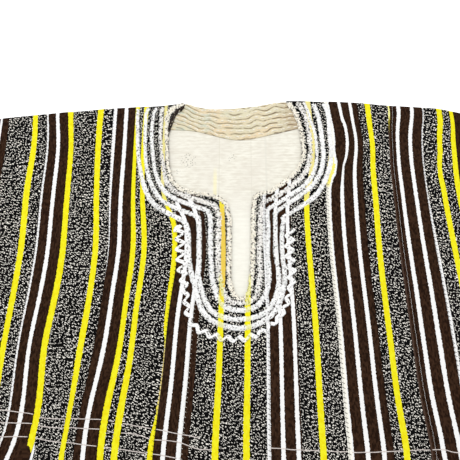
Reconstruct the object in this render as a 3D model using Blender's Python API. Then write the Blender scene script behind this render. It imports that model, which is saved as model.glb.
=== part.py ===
"""A strip-woven smock laid flat on a table, front up, modelled as closed cloth walls.

Metres, +Z up. X runs across the smock, from its right sleeve to its left as it is worn, and
+Y points at the shoulders. A place on the cloth is given as across (metres from the centre
line) and down (metres below the highest point of the shoulders).
"""

from math import ceil
from math import cos
from math import exp
from math import hypot
from math import pi
from math import radians
from math import sin

import bmesh
import bpy

# Driving dimensions of the cut
BODY_LENGTH = 0.88
HALF_BODY = 0.38
HALF_SPAN = 0.60
SLEEVE_DEPTH = 0.27
SLEEVE_STRIP = 0.11
HEM_LIFT = 0.026
GORE_TOP = 0.492
GORE_WIDTH = 0.12
GORE_EASE = 0.10
GORE_TIP = 0.002
GORE_TIP_SHARE = 0.3
GORE_COLUMNS = 4
SLEEVE_FLARE = 0.06
SLEEVE_SLACK = 0.0004
SLEEVE_RISE = 0.0030

# Thicknesses of the cloth
CLOTH = 0.0016
LINING = 0.0010
FACING = 0.0009
GAP = 0.0003

# The front is raised a little where the lining and the facing lie under it
YOKE_RISE = 0.0032
YOKE_HALF = 0.185
YOKE_DOWN = 0.43
YOKE_SLOPE = 0.055

# Embroidery: rows follow the neck opening, a zigzag closes the placket
SHOULDER_CLEARANCE = 0.004
ROW_PROFILE = ((-0.5, 0.0), (-0.27, 1.0), (0.27, 1.0), (0.5, 0.0))
ROW_COLUMNS = (None, 3, 4, 5, 6)
ROW_WIDTHS = (0.0034, 0.0050, 0.0060, 0.0060, 0.0062)
ROW_HEIGHT = 0.0015
EDGE_ROW_OFFSET = 0.0022
PLACKET_TOP = 0.203
ZIGZAG_SWING = 0.0034
ZIGZAG_PITCH = 0.0150
ZIGZAG_WIDTH = 0.0030
ZIGZAG_HEIGHT = 0.0012

# Mesh steps
ACROSS_STEP = 0.027
DOWN_STEP = 0.031
BACK_DOWN_STEP = 0.075
SLEEVE_STEP = 0.028
SLEEVE_SHARES = (0.0, 0.12, 0.3, 0.5, 0.7, 0.88, 1.0)
TURN_SHARES = (0.25, 0.5, 0.75)
ROW_STEP = 0.011
LINING_STEP = 0.0275
LINING_ROWS = 4
FACING_STEP = 0.014
ROUNDING = 1e-6
KEY_DIGITS = 5

# Colours, linear
BROWN = (0.040, 0.018, 0.010)
MOTTLED = (0.150, 0.145, 0.140)
PLAIN = (0.800, 0.760, 0.640)
TAN = (0.560, 0.450, 0.260)
WHITE = (0.850, 0.840, 0.810)

# Woven strips, left to right in the plan: name, left edge, right edge, colour
STRIPS = (
    ("side_left", -0.380, -0.276, MOTTLED),
    ("brown_left", -0.276, -0.2345, BROWN),
    ("mottled_left", -0.2345, -0.181, MOTTLED),
    ("wide_left", -0.181, -0.087, MOTTLED),
    ("narrow_left", -0.087, -0.055, BROWN),
    ("centre", -0.055, 0.045, MOTTLED),
    ("inner_right", 0.045, 0.137, MOTTLED),
    ("brown_right", 0.137, 0.188, BROWN),
    ("mottled_right", 0.188, 0.238, MOTTLED),
    ("outer_right", 0.238, 0.280, BROWN),
    ("side_right", 0.280, 0.380, MOTTLED),
)
NECK_STRIPS = ("wide_left", "narrow_left", "centre", "inner_right")
GORE_LEFT = -0.2345
GORE_RIGHT = 0.238

# Shoulder line, from sleeve end to sleeve end: across, down
SHOULDER = (
    (-0.600, 0.064),
    (-0.380, 0.033),
    (-0.250, 0.018),
    (-0.150, 0.0105),
    (0.000, 0.005),
    (0.143, 0.000),
    (0.200, 0.003),
    (0.305, 0.011),
    (0.380, 0.026),
    (0.600, 0.060),
)

# Neck edge in the front and the rows round it, from shoulder to shoulder: across, down, heading
# outwards in degrees, then the distance out along it to rows 2, 3, 4, 5 and the zigzag
SECTIONS = (
    (-0.0892, -0.010, 180, 0.0140, 0.0240, 0.0360, 0.0515, 0.066),
    (-0.0900, 0.008, 180, 0.0150, 0.0250, 0.0376, 0.0530, 0.066),
    (-0.0915, 0.022, 180, 0.0160, 0.0270, 0.0390, 0.0530, 0.066),
    (-0.0960, 0.038, 180, 0.0136, 0.0270, 0.0374, 0.0500, 0.062),
    (-0.0980, 0.060, 180, 0.0117, 0.0250, 0.0350, 0.0462, 0.058),
    (-0.0960, 0.090, 178, 0.0107, 0.0237, 0.0346, 0.0453, 0.056),
    (-0.0930, 0.116, 173, 0.0093, 0.0221, 0.0335, 0.0428, 0.054),
    (-0.0870, 0.137, 156, 0.0099, 0.0204, 0.0317, 0.0429, 0.054),
    (-0.0750, 0.149, 139, 0.0108, 0.0214, 0.0337, 0.0459, 0.058),
    (-0.0560, 0.1565, 117, 0.0109, 0.0210, 0.0338, 0.0469, 0.060),
    (-0.0330, 0.160, 127, 0.0155, 0.0267, 0.0401, 0.0568, 0.069),
    (-0.0130, 0.169, 143, 0.0168, 0.0295, 0.0463, 0.0658, 0.075),
    (-0.0040, 0.192, 169, 0.0160, 0.0287, 0.0452, 0.0652, 0.0755),
    (-0.0030, 0.220, 180, 0.0169, 0.0285, 0.0442, 0.0597, 0.0715),
    (-0.0030, 0.260, 180, 0.0176, 0.0272, 0.0434, 0.0570, 0.068),
    (-0.0025, 0.286, 171, 0.0151, 0.0248, 0.0428, 0.0502, 0.063),
    (0.0020, 0.306, 139, 0.0129, 0.0233, 0.0388, 0.0487, 0.069),
    (0.0110, 0.313, 90, 0.0072, 0.0170, 0.0289, 0.0404, 0.0545),
    (0.0190, 0.306, 41, 0.0115, 0.0219, 0.0358, 0.0436, 0.053),
    (0.0225, 0.286, 9, 0.0141, 0.0263, 0.0397, 0.0470, 0.056),
    (0.0250, 0.250, 0, 0.0111, 0.0227, 0.0332, 0.0426, 0.0525),
    (0.0260, 0.215, 0, 0.0127, 0.0233, 0.0333, 0.0428, 0.0535),
    (0.0270, 0.182, 17, 0.0129, 0.0227, 0.0340, 0.0477, 0.056),
    (0.0330, 0.1595, 49, 0.0178, 0.0295, 0.0413, 0.0544, 0.064),
    (0.0490, 0.156, 60, 0.0134, 0.0239, 0.0330, 0.0463, 0.058),
    (0.0685, 0.1430, 53, 0.0135, 0.0234, 0.0324, 0.0464, 0.057),
    (0.0842, 0.1300, 41, 0.0136, 0.0252, 0.0332, 0.0472, 0.0575),
    (0.0963, 0.1142, 26, 0.0134, 0.0242, 0.0334, 0.0442, 0.056),
    (0.1028, 0.0935, 6, 0.0123, 0.0220, 0.0324, 0.0477, 0.059),
    (0.1020, 0.0600, 0, 0.0131, 0.0219, 0.0334, 0.0484, 0.060),
    (0.0985, 0.038, 0, 0.0139, 0.0208, 0.0344, 0.0510, 0.062),
    (0.0930, 0.0205, 0, 0.0157, 0.0230, 0.0361, 0.0530, 0.064),
    (0.0845, 0.004, 0, 0.0168, 0.0262, 0.0399, 0.0562, 0.068),
    (0.0780, -0.010, 0, 0.0190, 0.0280, 0.0410, 0.0580, 0.070),
)
ZIGZAG_COLUMN = 7
PATH_SAMPLES = 8
OPENING_SAMPLES = 3
CUTTER_BASE = -0.01
CUTTER_HEIGHT = 0.04

# Neckline of the back and the lower edge of the facing behind it: across, down
BACK_NECK_HALF = 0.082
BACK_NECK_DROP = 0.0095
FACING_HALF = 0.112
FACING_DEPTHS = ((-0.112, 0.050), (-0.060, 0.052), (0.005, 0.068), (0.060, 0.058), (0.112, 0.044))
FACING_RIDGES = 5
FACING_RIDGE_HEIGHT = 0.0004
FACING_MARGIN = 0.002
LINING_HALF = 0.165
LINING_DOWN = 0.40
LINING_MARGIN = 0.004

# How the laid cloth is drawn sideways: across, down, reach across, reach down, shift
PULLS = (
    (-0.262, -0.005, 0.070, 0.068, -0.0140),
    (0.265, 0.008, 0.067, 0.043, 0.0136),
    (-0.143, 0.250, 0.125, 0.067, 0.0083),
    (0.129, 0.244, 0.120, 0.099, -0.0036),
    (-0.167, 0.455, 0.036, 0.081, -0.0084),
    (0.174, 0.074, 0.076, 0.036, 0.0053),
    (-0.099, 0.517, 0.096, 0.080, -0.0091),
    (0.251, 0.500, 0.115, 0.047, 0.0057),
    (-0.274, 0.523, 0.062, 0.036, -0.0106),
    (-0.061, 0.231, 0.035, 0.091, 0.0063),
    (-0.134, 0.078, 0.025, 0.100, -0.0069),
    (0.068, 0.316, 0.094, 0.094, 0.0024),
    (0.068, 0.136, 0.029, 0.039, 0.0053),
    (0.315, 0.059, 0.040, 0.060, 0.0065),
    (-0.155, 0.094, 0.036, 0.118, 0.0073),
    (0.309, 0.387, 0.059, 0.145, 0.0054),
    (-0.183, 0.379, 0.054, 0.082, 0.0088),
    (0.209, 0.155, 0.025, 0.104, 0.0040),
    (0.148, 0.046, 0.028, 0.074, 0.0088),
    (-0.321, 0.138, 0.051, 0.075, -0.0060),
    (-0.197, 0.079, 0.036, 0.079, -0.0056),
    (-0.225, 0.381, 0.051, 0.050, -0.0063),
)

# Soft folds raised in the front: across and down at each end, half width, height
FOLDS = (
    (-0.330, 0.10, -0.325, 0.34, 0.030, 0.0030),
    (-0.235, 0.16, -0.250, 0.40, 0.028, 0.0022),
    (0.262, 0.08, 0.250, 0.36, 0.030, 0.0026),
    (0.335, 0.14, 0.345, 0.42, 0.028, 0.0030),
    (-0.440, 0.60, -0.490, 0.93, 0.026, 0.0075),
    (-0.345, 0.55, -0.390, 0.93, 0.030, 0.0060),
    (-0.205, 0.54, -0.225, 0.93, 0.030, 0.0080),
    (-0.085, 0.60, -0.090, 0.93, 0.028, 0.0055),
    (0.030, 0.56, 0.025, 0.93, 0.032, 0.0070),
    (0.150, 0.62, 0.165, 0.93, 0.028, 0.0055),
    (0.225, 0.53, 0.250, 0.93, 0.028, 0.0080),
    (0.335, 0.56, 0.375, 0.93, 0.030, 0.0062),
    (0.430, 0.61, 0.475, 0.93, 0.026, 0.0075),
)
FOLD_END = 0.07
SIDE_FADE = 0.04


def clear_scene():
    for existing in list(bpy.data.objects):
        bpy.data.objects.remove(existing, do_unlink=True)


def make_material(name, colour, roughness=0.9):
    material = bpy.data.materials.new(name)
    material.use_nodes = True
    shader = material.node_tree.nodes["Principled BSDF"]
    shader.inputs["Base Color"].default_value = (*colour, 1.0)
    shader.inputs["Roughness"].default_value = roughness
    shader.inputs["Metallic"].default_value = 0.0
    return material


def smooth(value):
    """Rise from 0 to 1 with level ends."""
    value = min(max(value, 0.0), 1.0)
    return value * value * (3.0 - 2.0 * value)


def table_value(table, across):
    """Read a two-column table at a place, in straight runs between its rows."""
    if across <= table[0][0]:
        return table[0][1]
    for (left, low), (right, high) in zip(table, table[1:]):
        if across <= right:
            return low + (high - low) * (across - left) / (right - left)
    return table[-1][1]


def spread_evenly(low, high, step):
    count = max(1, ceil(abs(high - low) / step - ROUNDING))
    return [low + (high - low) * index / count for index in range(count + 1)]


def shoulder(across):
    return table_value(SHOULDER, across)


def back_top(across):
    """Top edge of the back, with its shallow neckline."""
    share = min(1.0, abs(across) / BACK_NECK_HALF)
    return shoulder(across) + BACK_NECK_DROP * (1.0 - share * share)


def hem(across):
    """Hem line: it lifts towards the sides, as a flared hem does when laid flat."""
    return BODY_LENGTH - HEM_LIFT * (across / HALF_BODY) ** 2


def gore_opening(down):
    """How far a gore is open at a height, from its point to the hem."""
    run = max(0.0, down - GORE_TOP)
    full = BODY_LENGTH - GORE_TOP
    return GORE_WIDTH * (run * run / (run + GORE_EASE)) / (full * full / (full + GORE_EASE))


def sway(across, down):
    """Sideways shift of the laid cloth, which fades out towards the side seams."""
    total = 0.0
    for middle, height, reach_across, reach_down, shift in PULLS:
        distance = ((across - middle) / reach_across) ** 2 + ((down - height) / reach_down) ** 2
        total += shift * exp(-distance)
    return total * smooth((HALF_BODY - abs(across)) / SIDE_FADE)


def laid(across, down, side=0):
    """Plan position of a place on the body. Side is -1 or 1 outside a gore and 0 inside them."""
    return across + sway(across, down) + side * gore_opening(down), BODY_LENGTH / 2.0 - down


def fold_height(x, down):
    """Height of the soft folds at a plan position."""
    total = 0.0
    for start_x, start_down, end_x, end_down, half_width, height in FOLDS:
        run_x = end_x - start_x
        run_down = end_down - start_down
        length = hypot(run_x, run_down)
        along = ((x - start_x) * run_x + (down - start_down) * run_down) / length
        aside = ((x - start_x) * run_down - (down - start_down) * run_x) / length
        ends = smooth(along / FOLD_END) * smooth((length - along) / FOLD_END)
        total += height * ends * exp(-(aside / half_width) ** 2)
    return total


def front_under(x, y):
    """Height of the front's underside above the table."""
    down = BODY_LENGTH / 2.0 - y
    beside = smooth((YOKE_HALF + YOKE_SLOPE - abs(x)) / YOKE_SLOPE)
    below = smooth((YOKE_DOWN + YOKE_SLOPE - down) / YOKE_SLOPE)
    return CLOTH + GAP + YOKE_RISE * beside * below + fold_height(x, down)


def flat_under(height):
    return lambda x, y: height


def finish(name, mesh_data, material):
    """Turn a bmesh into a named object with outward faces."""
    bmesh.ops.recalc_face_normals(mesh_data, faces=mesh_data.faces)
    mesh = bpy.data.meshes.new(name)
    mesh_data.to_mesh(mesh)
    mesh_data.free()
    mesh.materials.append(material)
    item = bpy.data.objects.new(name, mesh)
    bpy.context.collection.objects.link(item)
    return item


def sheet_wall(name, lines, under, thickness, material, relief=None):
    """Closed wall over a grid of plan positions, lines being rows of (x, y) pairs."""
    body = bmesh.new()
    lower = [[body.verts.new((x, y, under(x, y))) for x, y in line] for line in lines]
    for upper_line, lower_line in zip(lower, lower[1:]):
        for index in range(len(upper_line) - 1):
            body.faces.new((upper_line[index], upper_line[index + 1], lower_line[index + 1], lower_line[index]))
    raised = bmesh.ops.extrude_face_region(body, geom=list(body.faces))
    top = [item for item in raised["geom"] if isinstance(item, bmesh.types.BMVert)]
    bmesh.ops.translate(body, verts=top, vec=(0.0, 0.0, thickness))
    if relief:
        for vertex in top:
            vertex.co.z += relief(vertex.co.x, vertex.co.y)
    return finish(name, body, material)


def strip_lines(left, right, top, bottom, side, down_step, across_step):
    """Plan positions of a woven strip between two edges, less half a seam gap each side."""
    edges = spread_evenly(left, right, across_step)
    edges[0] += GAP / 2.0
    edges[-1] -= GAP / 2.0
    count = len(spread_evenly(0.0, BODY_LENGTH, down_step)) - 1
    lines = []
    for row in range(count + 1):
        line = []
        for across in edges:
            down = top(across) + (bottom(across) - top(across)) * row / count
            line.append(laid(across, down, side))
        lines.append(line)
    return lines


def strip_side(left, right):
    if right <= GORE_LEFT + GAP:
        return -1
    if left >= GORE_RIGHT - GAP:
        return 1
    return 0


def gore_lines(seam, side, down_step):
    """Plan positions of a gore, a wedge let into a seam from the waist to the hem."""
    count = len(spread_evenly(0.0, BODY_LENGTH, down_step)) - 1
    top = back_top(seam)
    rows = []
    for row in range(count + 1):
        down = top + (hem(seam) - top) * row / count
        inner_x, y = laid(seam, down, 0)
        outer_x, y = laid(seam, down, side)
        rows.append((min(inner_x, outer_x), max(inner_x, outer_x), y))
    first = next(row for row in range(count) if rows[row + 1][1] - rows[row + 1][0] > GORE_TIP)
    above, below = rows[first], rows[first + 1]
    tip = tuple(high + (low - high) * GORE_TIP_SHARE for high, low in zip(above, below))
    lines = []
    for low, high, y in [tip] + rows[first + 1:]:
        start = low + GAP / 2.0
        width = high - low - GAP
        lines.append([(start + width * share / GORE_COLUMNS, y) for share in range(GORE_COLUMNS + 1)])
    return lines


def smooth_outline(points, samples):
    """Catmull-Rom curve through rows of a table, every column treated alike."""
    curve = []
    last = len(points) - 1
    for index in range(last):
        before = points[max(index - 1, 0)]
        start = points[index]
        end = points[index + 1]
        after = points[min(index + 2, last)]
        for sample in range(samples):
            share = sample / samples
            row = []
            for a, b, c, d in zip(before, start, end, after):
                bend = (2.0 * a - 5.0 * b + 4.0 * c - d) * share
                turn = (3.0 * b - a - 3.0 * c + d) * share * share
                row.append(b + 0.5 * share * (c - a + bend + turn))
            curve.append(tuple(row))
    curve.append(tuple(points[-1]))
    return curve


def round_the_neck(samples, column=None, beside_edge=0.0):
    """Plan path round the neck opening, at a column of distances from its edge or close beside it."""
    places = []
    for section in SECTIONS:
        distance = beside_edge if column is None else section[column]
        heading = radians(section[2])
        places.append((section[0] + distance * cos(heading), section[1] + distance * sin(heading)))
    return [(across, BODY_LENGTH / 2.0 - down) for across, down in smooth_outline(places, samples)]


def keep_on_front(path, top=0.0):
    """The part of a plan path that lies on the front, below the shoulder line and a chosen height."""
    kept = []
    for x, y in path:
        down = BODY_LENGTH / 2.0 - y
        if down > max(top, shoulder(x) + SHOULDER_CLEARANCE):
            kept.append((x, y))
    return kept


def opening_cutter():
    """Prism through the front with the outline of the neck opening."""
    body = bmesh.new()
    ring = [body.verts.new((x, y, CUTTER_BASE)) for x, y in round_the_neck(OPENING_SAMPLES)]
    face = body.faces.new(ring)
    lifted = bmesh.ops.extrude_face_region(body, geom=[face])
    top = [item for item in lifted["geom"] if isinstance(item, bmesh.types.BMVert)]
    bmesh.ops.translate(body, verts=top, vec=(0.0, 0.0, CUTTER_HEIGHT))
    cutter = finish("neck_cutter", body, make_material("cutter", WHITE))
    cutter.hide_render = True
    cutter.display_type = "WIRE"
    return cutter


def cut_opening(item, cutter):
    cut = item.modifiers.new("neck", "BOOLEAN")
    cut.operation = "DIFFERENCE"
    cut.solver = "EXACT"
    cut.object = cutter


def even_path(path, step):
    """The same path with points at even distances."""
    lengths = [0.0]
    for (x0, y0), (x1, y1) in zip(path, path[1:]):
        lengths.append(lengths[-1] + hypot(x1 - x0, y1 - y0))
    count = max(2, round(lengths[-1] / step))
    result = []
    position = 0
    for index in range(count + 1):
        target = lengths[-1] * index / count
        while position < len(path) - 2 and lengths[position + 1] < target:
            position += 1
        span = lengths[position + 1] - lengths[position]
        share = (target - lengths[position]) / span
        (x0, y0), (x1, y1) = path[position], path[position + 1]
        result.append((x0 + (x1 - x0) * share, y0 + (y1 - y0) * share))
    return result


def ribbon(name, path, width, height, material):
    """Low raised band lying on the front along a plan path."""
    body = bmesh.new()
    rings = []
    last = len(path) - 1
    for index, (x, y) in enumerate(path):
        x0, y0 = path[max(index - 1, 0)]
        x1, y1 = path[min(index + 1, last)]
        length = hypot(x1 - x0, y1 - y0)
        side_x = -(y1 - y0) / length
        side_y = (x1 - x0) / length
        base = front_under(x, y) + CLOTH + GAP
        ring = []
        for aside, lift in ROW_PROFILE:
            place = (x + side_x * aside * width, y + side_y * aside * width, base + lift * height)
            ring.append(body.verts.new(place))
        rings.append(ring)
    for start, end in zip(rings, rings[1:]):
        for index in range(len(ROW_PROFILE)):
            other = (index + 1) % len(ROW_PROFILE)
            body.faces.new((start[index], start[other], end[other], end[index]))
    body.faces.new(rings[0])
    body.faces.new(list(reversed(rings[-1])))
    return finish(name, body, material)


def zigzag_path():
    base = keep_on_front(round_the_neck(PATH_SAMPLES, ZIGZAG_COLUMN), PLACKET_TOP)
    base = even_path(base, ZIGZAG_PITCH / 2.0)
    path = []
    last = len(base) - 1
    for index, (x, y) in enumerate(base):
        x0, y0 = base[max(index - 1, 0)]
        x1, y1 = base[min(index + 1, last)]
        length = hypot(x1 - x0, y1 - y0)
        swing = ZIGZAG_SWING * (-1) ** index
        path.append((x - (y1 - y0) / length * swing, y + (x1 - x0) / length * swing))
    return path


def loop_section(top_y, bottom_y):
    """Outer and inner outline of a flattened sleeve, as pairs of (y, z)."""
    thick = CLOTH
    space = GAP + SLEEVE_SLACK
    height = 2.0 * thick + space
    outer = []
    inner = []
    inset = height / 2.0
    for share in SLEEVE_SHARES:
        outer.append((top_y - inset + (bottom_y - top_y + 2.0 * inset) * share, 0.0))
        inner.append((outer[-1][0], thick))
    for turn in TURN_SHARES:
        angle = pi * turn
        outer.append((bottom_y + inset - inset * sin(angle), height / 2.0 * (1.0 - cos(angle))))
        inner.append((bottom_y + inset - (inset - thick) * sin(angle), height / 2.0 - space / 2.0 * cos(angle)))
    for share in reversed(SLEEVE_SHARES):
        crown = SLEEVE_RISE * sin(pi * share)
        outer.append((top_y - inset + (bottom_y - top_y + 2.0 * inset) * share, height + crown))
        inner.append((outer[-1][0], height - thick + crown))
    for turn in reversed(TURN_SHARES):
        angle = pi * turn
        outer.append((top_y - inset + inset * sin(angle), height / 2.0 * (1.0 - cos(angle))))
        inner.append((top_y - inset + (inset - thick) * sin(angle), height / 2.0 - space / 2.0 * cos(angle)))
    return outer, inner


def sleeve_strip(name, inner_across, outer_across, material):
    """One woven strip of a sleeve, a flattened ring of cloth round the arm."""
    body = bmesh.new()
    columns = spread_evenly(inner_across, outer_across, SLEEVE_STEP)
    direction = 1.0 if outer_across > inner_across else -1.0
    columns[0] += direction * GAP / 2.0
    columns[-1] -= direction * GAP / 2.0
    outer_rings = []
    inner_rings = []
    for across in columns:
        beyond = abs(across) - HALF_BODY
        top_y = BODY_LENGTH / 2.0 - shoulder(across)
        depth = shoulder(direction * HALF_BODY) + SLEEVE_DEPTH + SLEEVE_FLARE * beyond
        outer, inner = loop_section(top_y, BODY_LENGTH / 2.0 - depth)
        outer_rings.append([body.verts.new((across, y, z)) for y, z in outer])
        inner_rings.append([body.verts.new((across, y, z)) for y, z in inner])
    count = len(outer_rings[0])
    for rings in (outer_rings, inner_rings):
        for start, end in zip(rings, rings[1:]):
            for index in range(count):
                other = (index + 1) % count
                body.faces.new((start[index], start[other], end[other], end[index]))
    for outer, inner in ((outer_rings[0], inner_rings[0]), (outer_rings[-1], inner_rings[-1])):
        for index in range(count):
            other = (index + 1) % count
            body.faces.new((outer[index], outer[other], inner[other], inner[index]))
    return finish(name, body, material)


def build_front(materials, cutter):
    for name, left, right, colour in STRIPS:
        lines = strip_lines(left, right, shoulder, hem, strip_side(left, right), DOWN_STEP, ACROSS_STEP)
        item = sheet_wall("front_" + name, lines, front_under, CLOTH, materials[colour])
        if name in NECK_STRIPS:
            cut_opening(item, cutter)
    for name, seam, side in (("left", GORE_LEFT, -1), ("right", GORE_RIGHT, 1)):
        lines = gore_lines(seam, side, DOWN_STEP)
        sheet_wall("front_gore_" + name, lines, front_under, CLOTH, materials[MOTTLED])


def build_back(materials):
    for name, left, right, colour in STRIPS:
        lines = strip_lines(left, right, back_top, hem, strip_side(left, right), BACK_DOWN_STEP, ACROSS_STEP)
        sheet_wall("back_" + name, lines, flat_under(0.0), CLOTH, materials[colour])
    for name, seam, side in (("left", GORE_LEFT, -1), ("right", GORE_RIGHT, 1)):
        lines = gore_lines(seam, side, BACK_DOWN_STEP)
        sheet_wall("back_gore_" + name, lines, flat_under(0.0), CLOTH, materials[MOTTLED])


def build_sleeves(materials):
    for name, direction in (("left", -1.0), ("right", 1.0)):
        middle = HALF_BODY + SLEEVE_STRIP
        sleeve_strip("sleeve_" + name + "_upper", direction * HALF_BODY, direction * middle, materials[BROWN])
        sleeve_strip("sleeve_" + name + "_cuff", direction * middle, direction * HALF_SPAN, materials[MOTTLED])


def build_lining(materials):
    lines = []
    for row in range(LINING_ROWS + 1):
        line = []
        for across in spread_evenly(-LINING_HALF, LINING_HALF, LINING_STEP):
            top = back_top(across) + LINING_MARGIN
            line.append((across, BODY_LENGTH / 2.0 - (top + (LINING_DOWN - top) * row / LINING_ROWS)))
        lines.append(line)
    sheet_wall("back_lining", lines, flat_under(CLOTH + GAP), LINING, materials[PLAIN])


def build_facing(materials):
    """Facing of the back neck, with low ridges where its rows of stitches run."""
    lines = []
    rows = 2 * FACING_RIDGES
    levels = {}
    for row in range(rows + 1):
        line = []
        for across in spread_evenly(-FACING_HALF, FACING_HALF, FACING_STEP):
            top = back_top(across) + FACING_MARGIN
            bottom = table_value(FACING_DEPTHS, across)
            y = BODY_LENGTH / 2.0 - (top + (bottom - top) * row / rows)
            line.append((across, y))
            levels[(round(across, KEY_DIGITS), round(y, KEY_DIGITS))] = FACING_RIDGE_HEIGHT * (row % 2)
        lines.append(line)

    def relief(x, y):
        return levels.get((round(x, KEY_DIGITS), round(y, KEY_DIGITS)), 0.0)

    height = CLOTH + GAP + LINING + GAP
    sheet_wall("neck_facing", lines, flat_under(height), FACING, materials[TAN], relief)


def build_embroidery(materials):
    for number, (column, width) in enumerate(zip(ROW_COLUMNS, ROW_WIDTHS), start=1):
        path = round_the_neck(PATH_SAMPLES, column, EDGE_ROW_OFFSET)
        path = even_path(keep_on_front(path), ROW_STEP)
        ribbon(f"embroidery_row_{number}", path, width, ROW_HEIGHT, materials[WHITE])
    ribbon("embroidery_zigzag", zigzag_path(), ZIGZAG_WIDTH, ZIGZAG_HEIGHT, materials[WHITE])


def main():
    clear_scene()
    names = {BROWN: "brown_cotton", MOTTLED: "mottled_cotton", PLAIN: "plain_cotton",
             TAN: "facing_cotton", WHITE: "white_yarn"}
    materials = {colour: make_material(name, colour) for colour, name in names.items()}
    cutter = opening_cutter()
    build_back(materials)
    build_lining(materials)
    build_facing(materials)
    build_front(materials, cutter)
    build_sleeves(materials)
    build_embroidery(materials)


main()
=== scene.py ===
"""Looks of a strip-woven smock laid flat: woven strips, corded neck embroidery, lining and stitches."""

from math import ceil
from math import cos
from math import e as EULER
from math import exp
from math import hypot
from math import pi
from math import radians
from math import sin

import bmesh
import bpy
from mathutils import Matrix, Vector
from mathutils import noise


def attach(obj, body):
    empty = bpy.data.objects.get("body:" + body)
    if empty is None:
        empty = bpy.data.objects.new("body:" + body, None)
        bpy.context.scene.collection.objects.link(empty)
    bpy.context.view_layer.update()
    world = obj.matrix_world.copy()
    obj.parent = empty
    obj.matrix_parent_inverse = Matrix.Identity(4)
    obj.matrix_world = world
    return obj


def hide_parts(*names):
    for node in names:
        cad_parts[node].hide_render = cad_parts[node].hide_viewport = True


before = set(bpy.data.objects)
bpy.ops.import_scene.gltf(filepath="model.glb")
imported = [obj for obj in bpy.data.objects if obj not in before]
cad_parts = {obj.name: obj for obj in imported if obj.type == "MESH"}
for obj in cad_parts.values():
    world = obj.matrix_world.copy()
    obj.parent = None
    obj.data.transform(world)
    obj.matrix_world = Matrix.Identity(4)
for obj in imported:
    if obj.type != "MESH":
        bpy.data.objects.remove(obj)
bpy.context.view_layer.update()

# Sizes of the cut, as the solids have them
BODY_LENGTH = 0.88
HALF_BODY = 0.38
SLEEVE_DEPTH = 0.27
SLEEVE_STRIP = 0.11
SLEEVE_FLARE = 0.06
SLEEVE_SLACK = 0.0004
SLEEVE_RISE = 0.0030
HEM_LIFT = 0.026
GORE_TOP = 0.492
GORE_WIDTH = 0.12
GORE_EASE = 0.10
GORE_TIP = 0.515
GORE_LEFT = -0.2345
GORE_RIGHT = 0.238
CLOTH = 0.0016
LINING = 0.0010
FACING = 0.0009
GAP = 0.0003
YOKE_RISE = 0.0032
YOKE_HALF = 0.185
YOKE_DOWN = 0.43
YOKE_SLOPE = 0.055
BACK_NECK_HALF = 0.082
BACK_NECK_DROP = 0.0095
LINING_HALF = 0.165
LINING_DOWN = 0.40
LINING_BELOW_NECK = 0.004
FOLD_END = 0.07
SIDE_FADE = 0.04

# Facing of the back neck: across and down of its upper and its lower edge
FACING_HALF = 0.112
FACING_TOPS = (
    (-0.112, 0.0111),
    (-0.090, 0.0080),
    (-0.073, 0.0032),
    (-0.055, 0.0088),
    (-0.030, 0.0126),
    (0.005, 0.0110),
    (0.040, 0.0066),
    (0.066, 0.0010),
    (0.082, 0.0000),
    (0.094, 0.0028),
    (0.112, 0.0031),
)
FACING_DEPTHS = (
    (-0.112, 0.050),
    (-0.060, 0.052),
    (0.005, 0.068),
    (0.060, 0.058),
    (0.112, 0.044),
)

# Ridges of the facing between its rows of stitches, which fan at the left end and wave a little
FACING_BASE = CLOTH + GAP + LINING + GAP
FACING_ROWS = 6
FACING_UNIT = 0.05
FACING_RIDGE = 0.0008
FACING_FURROW = 0.0003
RIDGE_ROUNDNESS = 0.7
FAN_SHARE = 0.34
FAN_START = -0.052
FAN_REACH = 0.046
WAVE_SHARE = 0.09
WAVES_ACROSS = 70.0
WAVES_BETWEEN_ROWS = 2.0

# Unevenness of the hand-woven faces: height, how closely it varies across and along, place in the noise
FRONT_RIPPLE = (0.00022, 38.0, 12.0, 0.7)
BACK_RIPPLE = (0.00005, 50.0, 20.0, 3.1)
LINING_RIPPLE = (0.00012, 60.0, 60.0, 5.0)

# Rounded selvedges: distances in from the edge, and how far the face drops there
SELVEDGE = 0.005
SELVEDGE_INSETS = (0.0, 0.0008, 0.0022)
SELVEDGE_DROPS = (0.00055, 0.00018, 0.00003)

# Shares of the way round a flattened sleeve that one of its faces and one of its folds take
SLEEVE_FLAT = 0.42
SLEEVE_TURN = 0.08

# Fineness of the meshes
GORE_COLUMNS = (0.0, 0.02, 0.06, 0.15, 0.3, 0.45, 0.6, 0.75, 0.88, 0.95, 0.985, 1.0)
GORE_MESH_ROWS = 46
SLEEVE_MESH_COLUMNS = 14
SLEEVE_MESH_ROUNDS = 100
LINING_STEP = 0.006
LINING_MESH_ROWS = 60
FACING_STEP = 0.004
FACING_MESH_ROWS = 10 * FACING_ROWS
NECK_SAMPLES = 8
MERGE_DISTANCE = 1e-6
SHARP_ANGLE = radians(50.0)
CUTTER_BASE = -0.01
CUTTER_HEIGHT = 0.05

# Shoulder line: across, down
SHOULDER = (
    (-0.600, 0.064),
    (-0.380, 0.033),
    (-0.250, 0.018),
    (-0.150, 0.0105),
    (-0.114, 0.0090),
    (-0.088, 0.0052),
    (-0.070, 0.0050),
    (-0.045, 0.0066),
    (0.000, 0.005),
    (0.060, 0.0029),
    (0.084, -0.0008),
    (0.104, -0.0008),
    (0.127, 0.0005),
    (0.143, 0.000),
    (0.200, 0.003),
    (0.305, 0.011),
    (0.380, 0.026),
    (0.600, 0.060),
)

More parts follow.
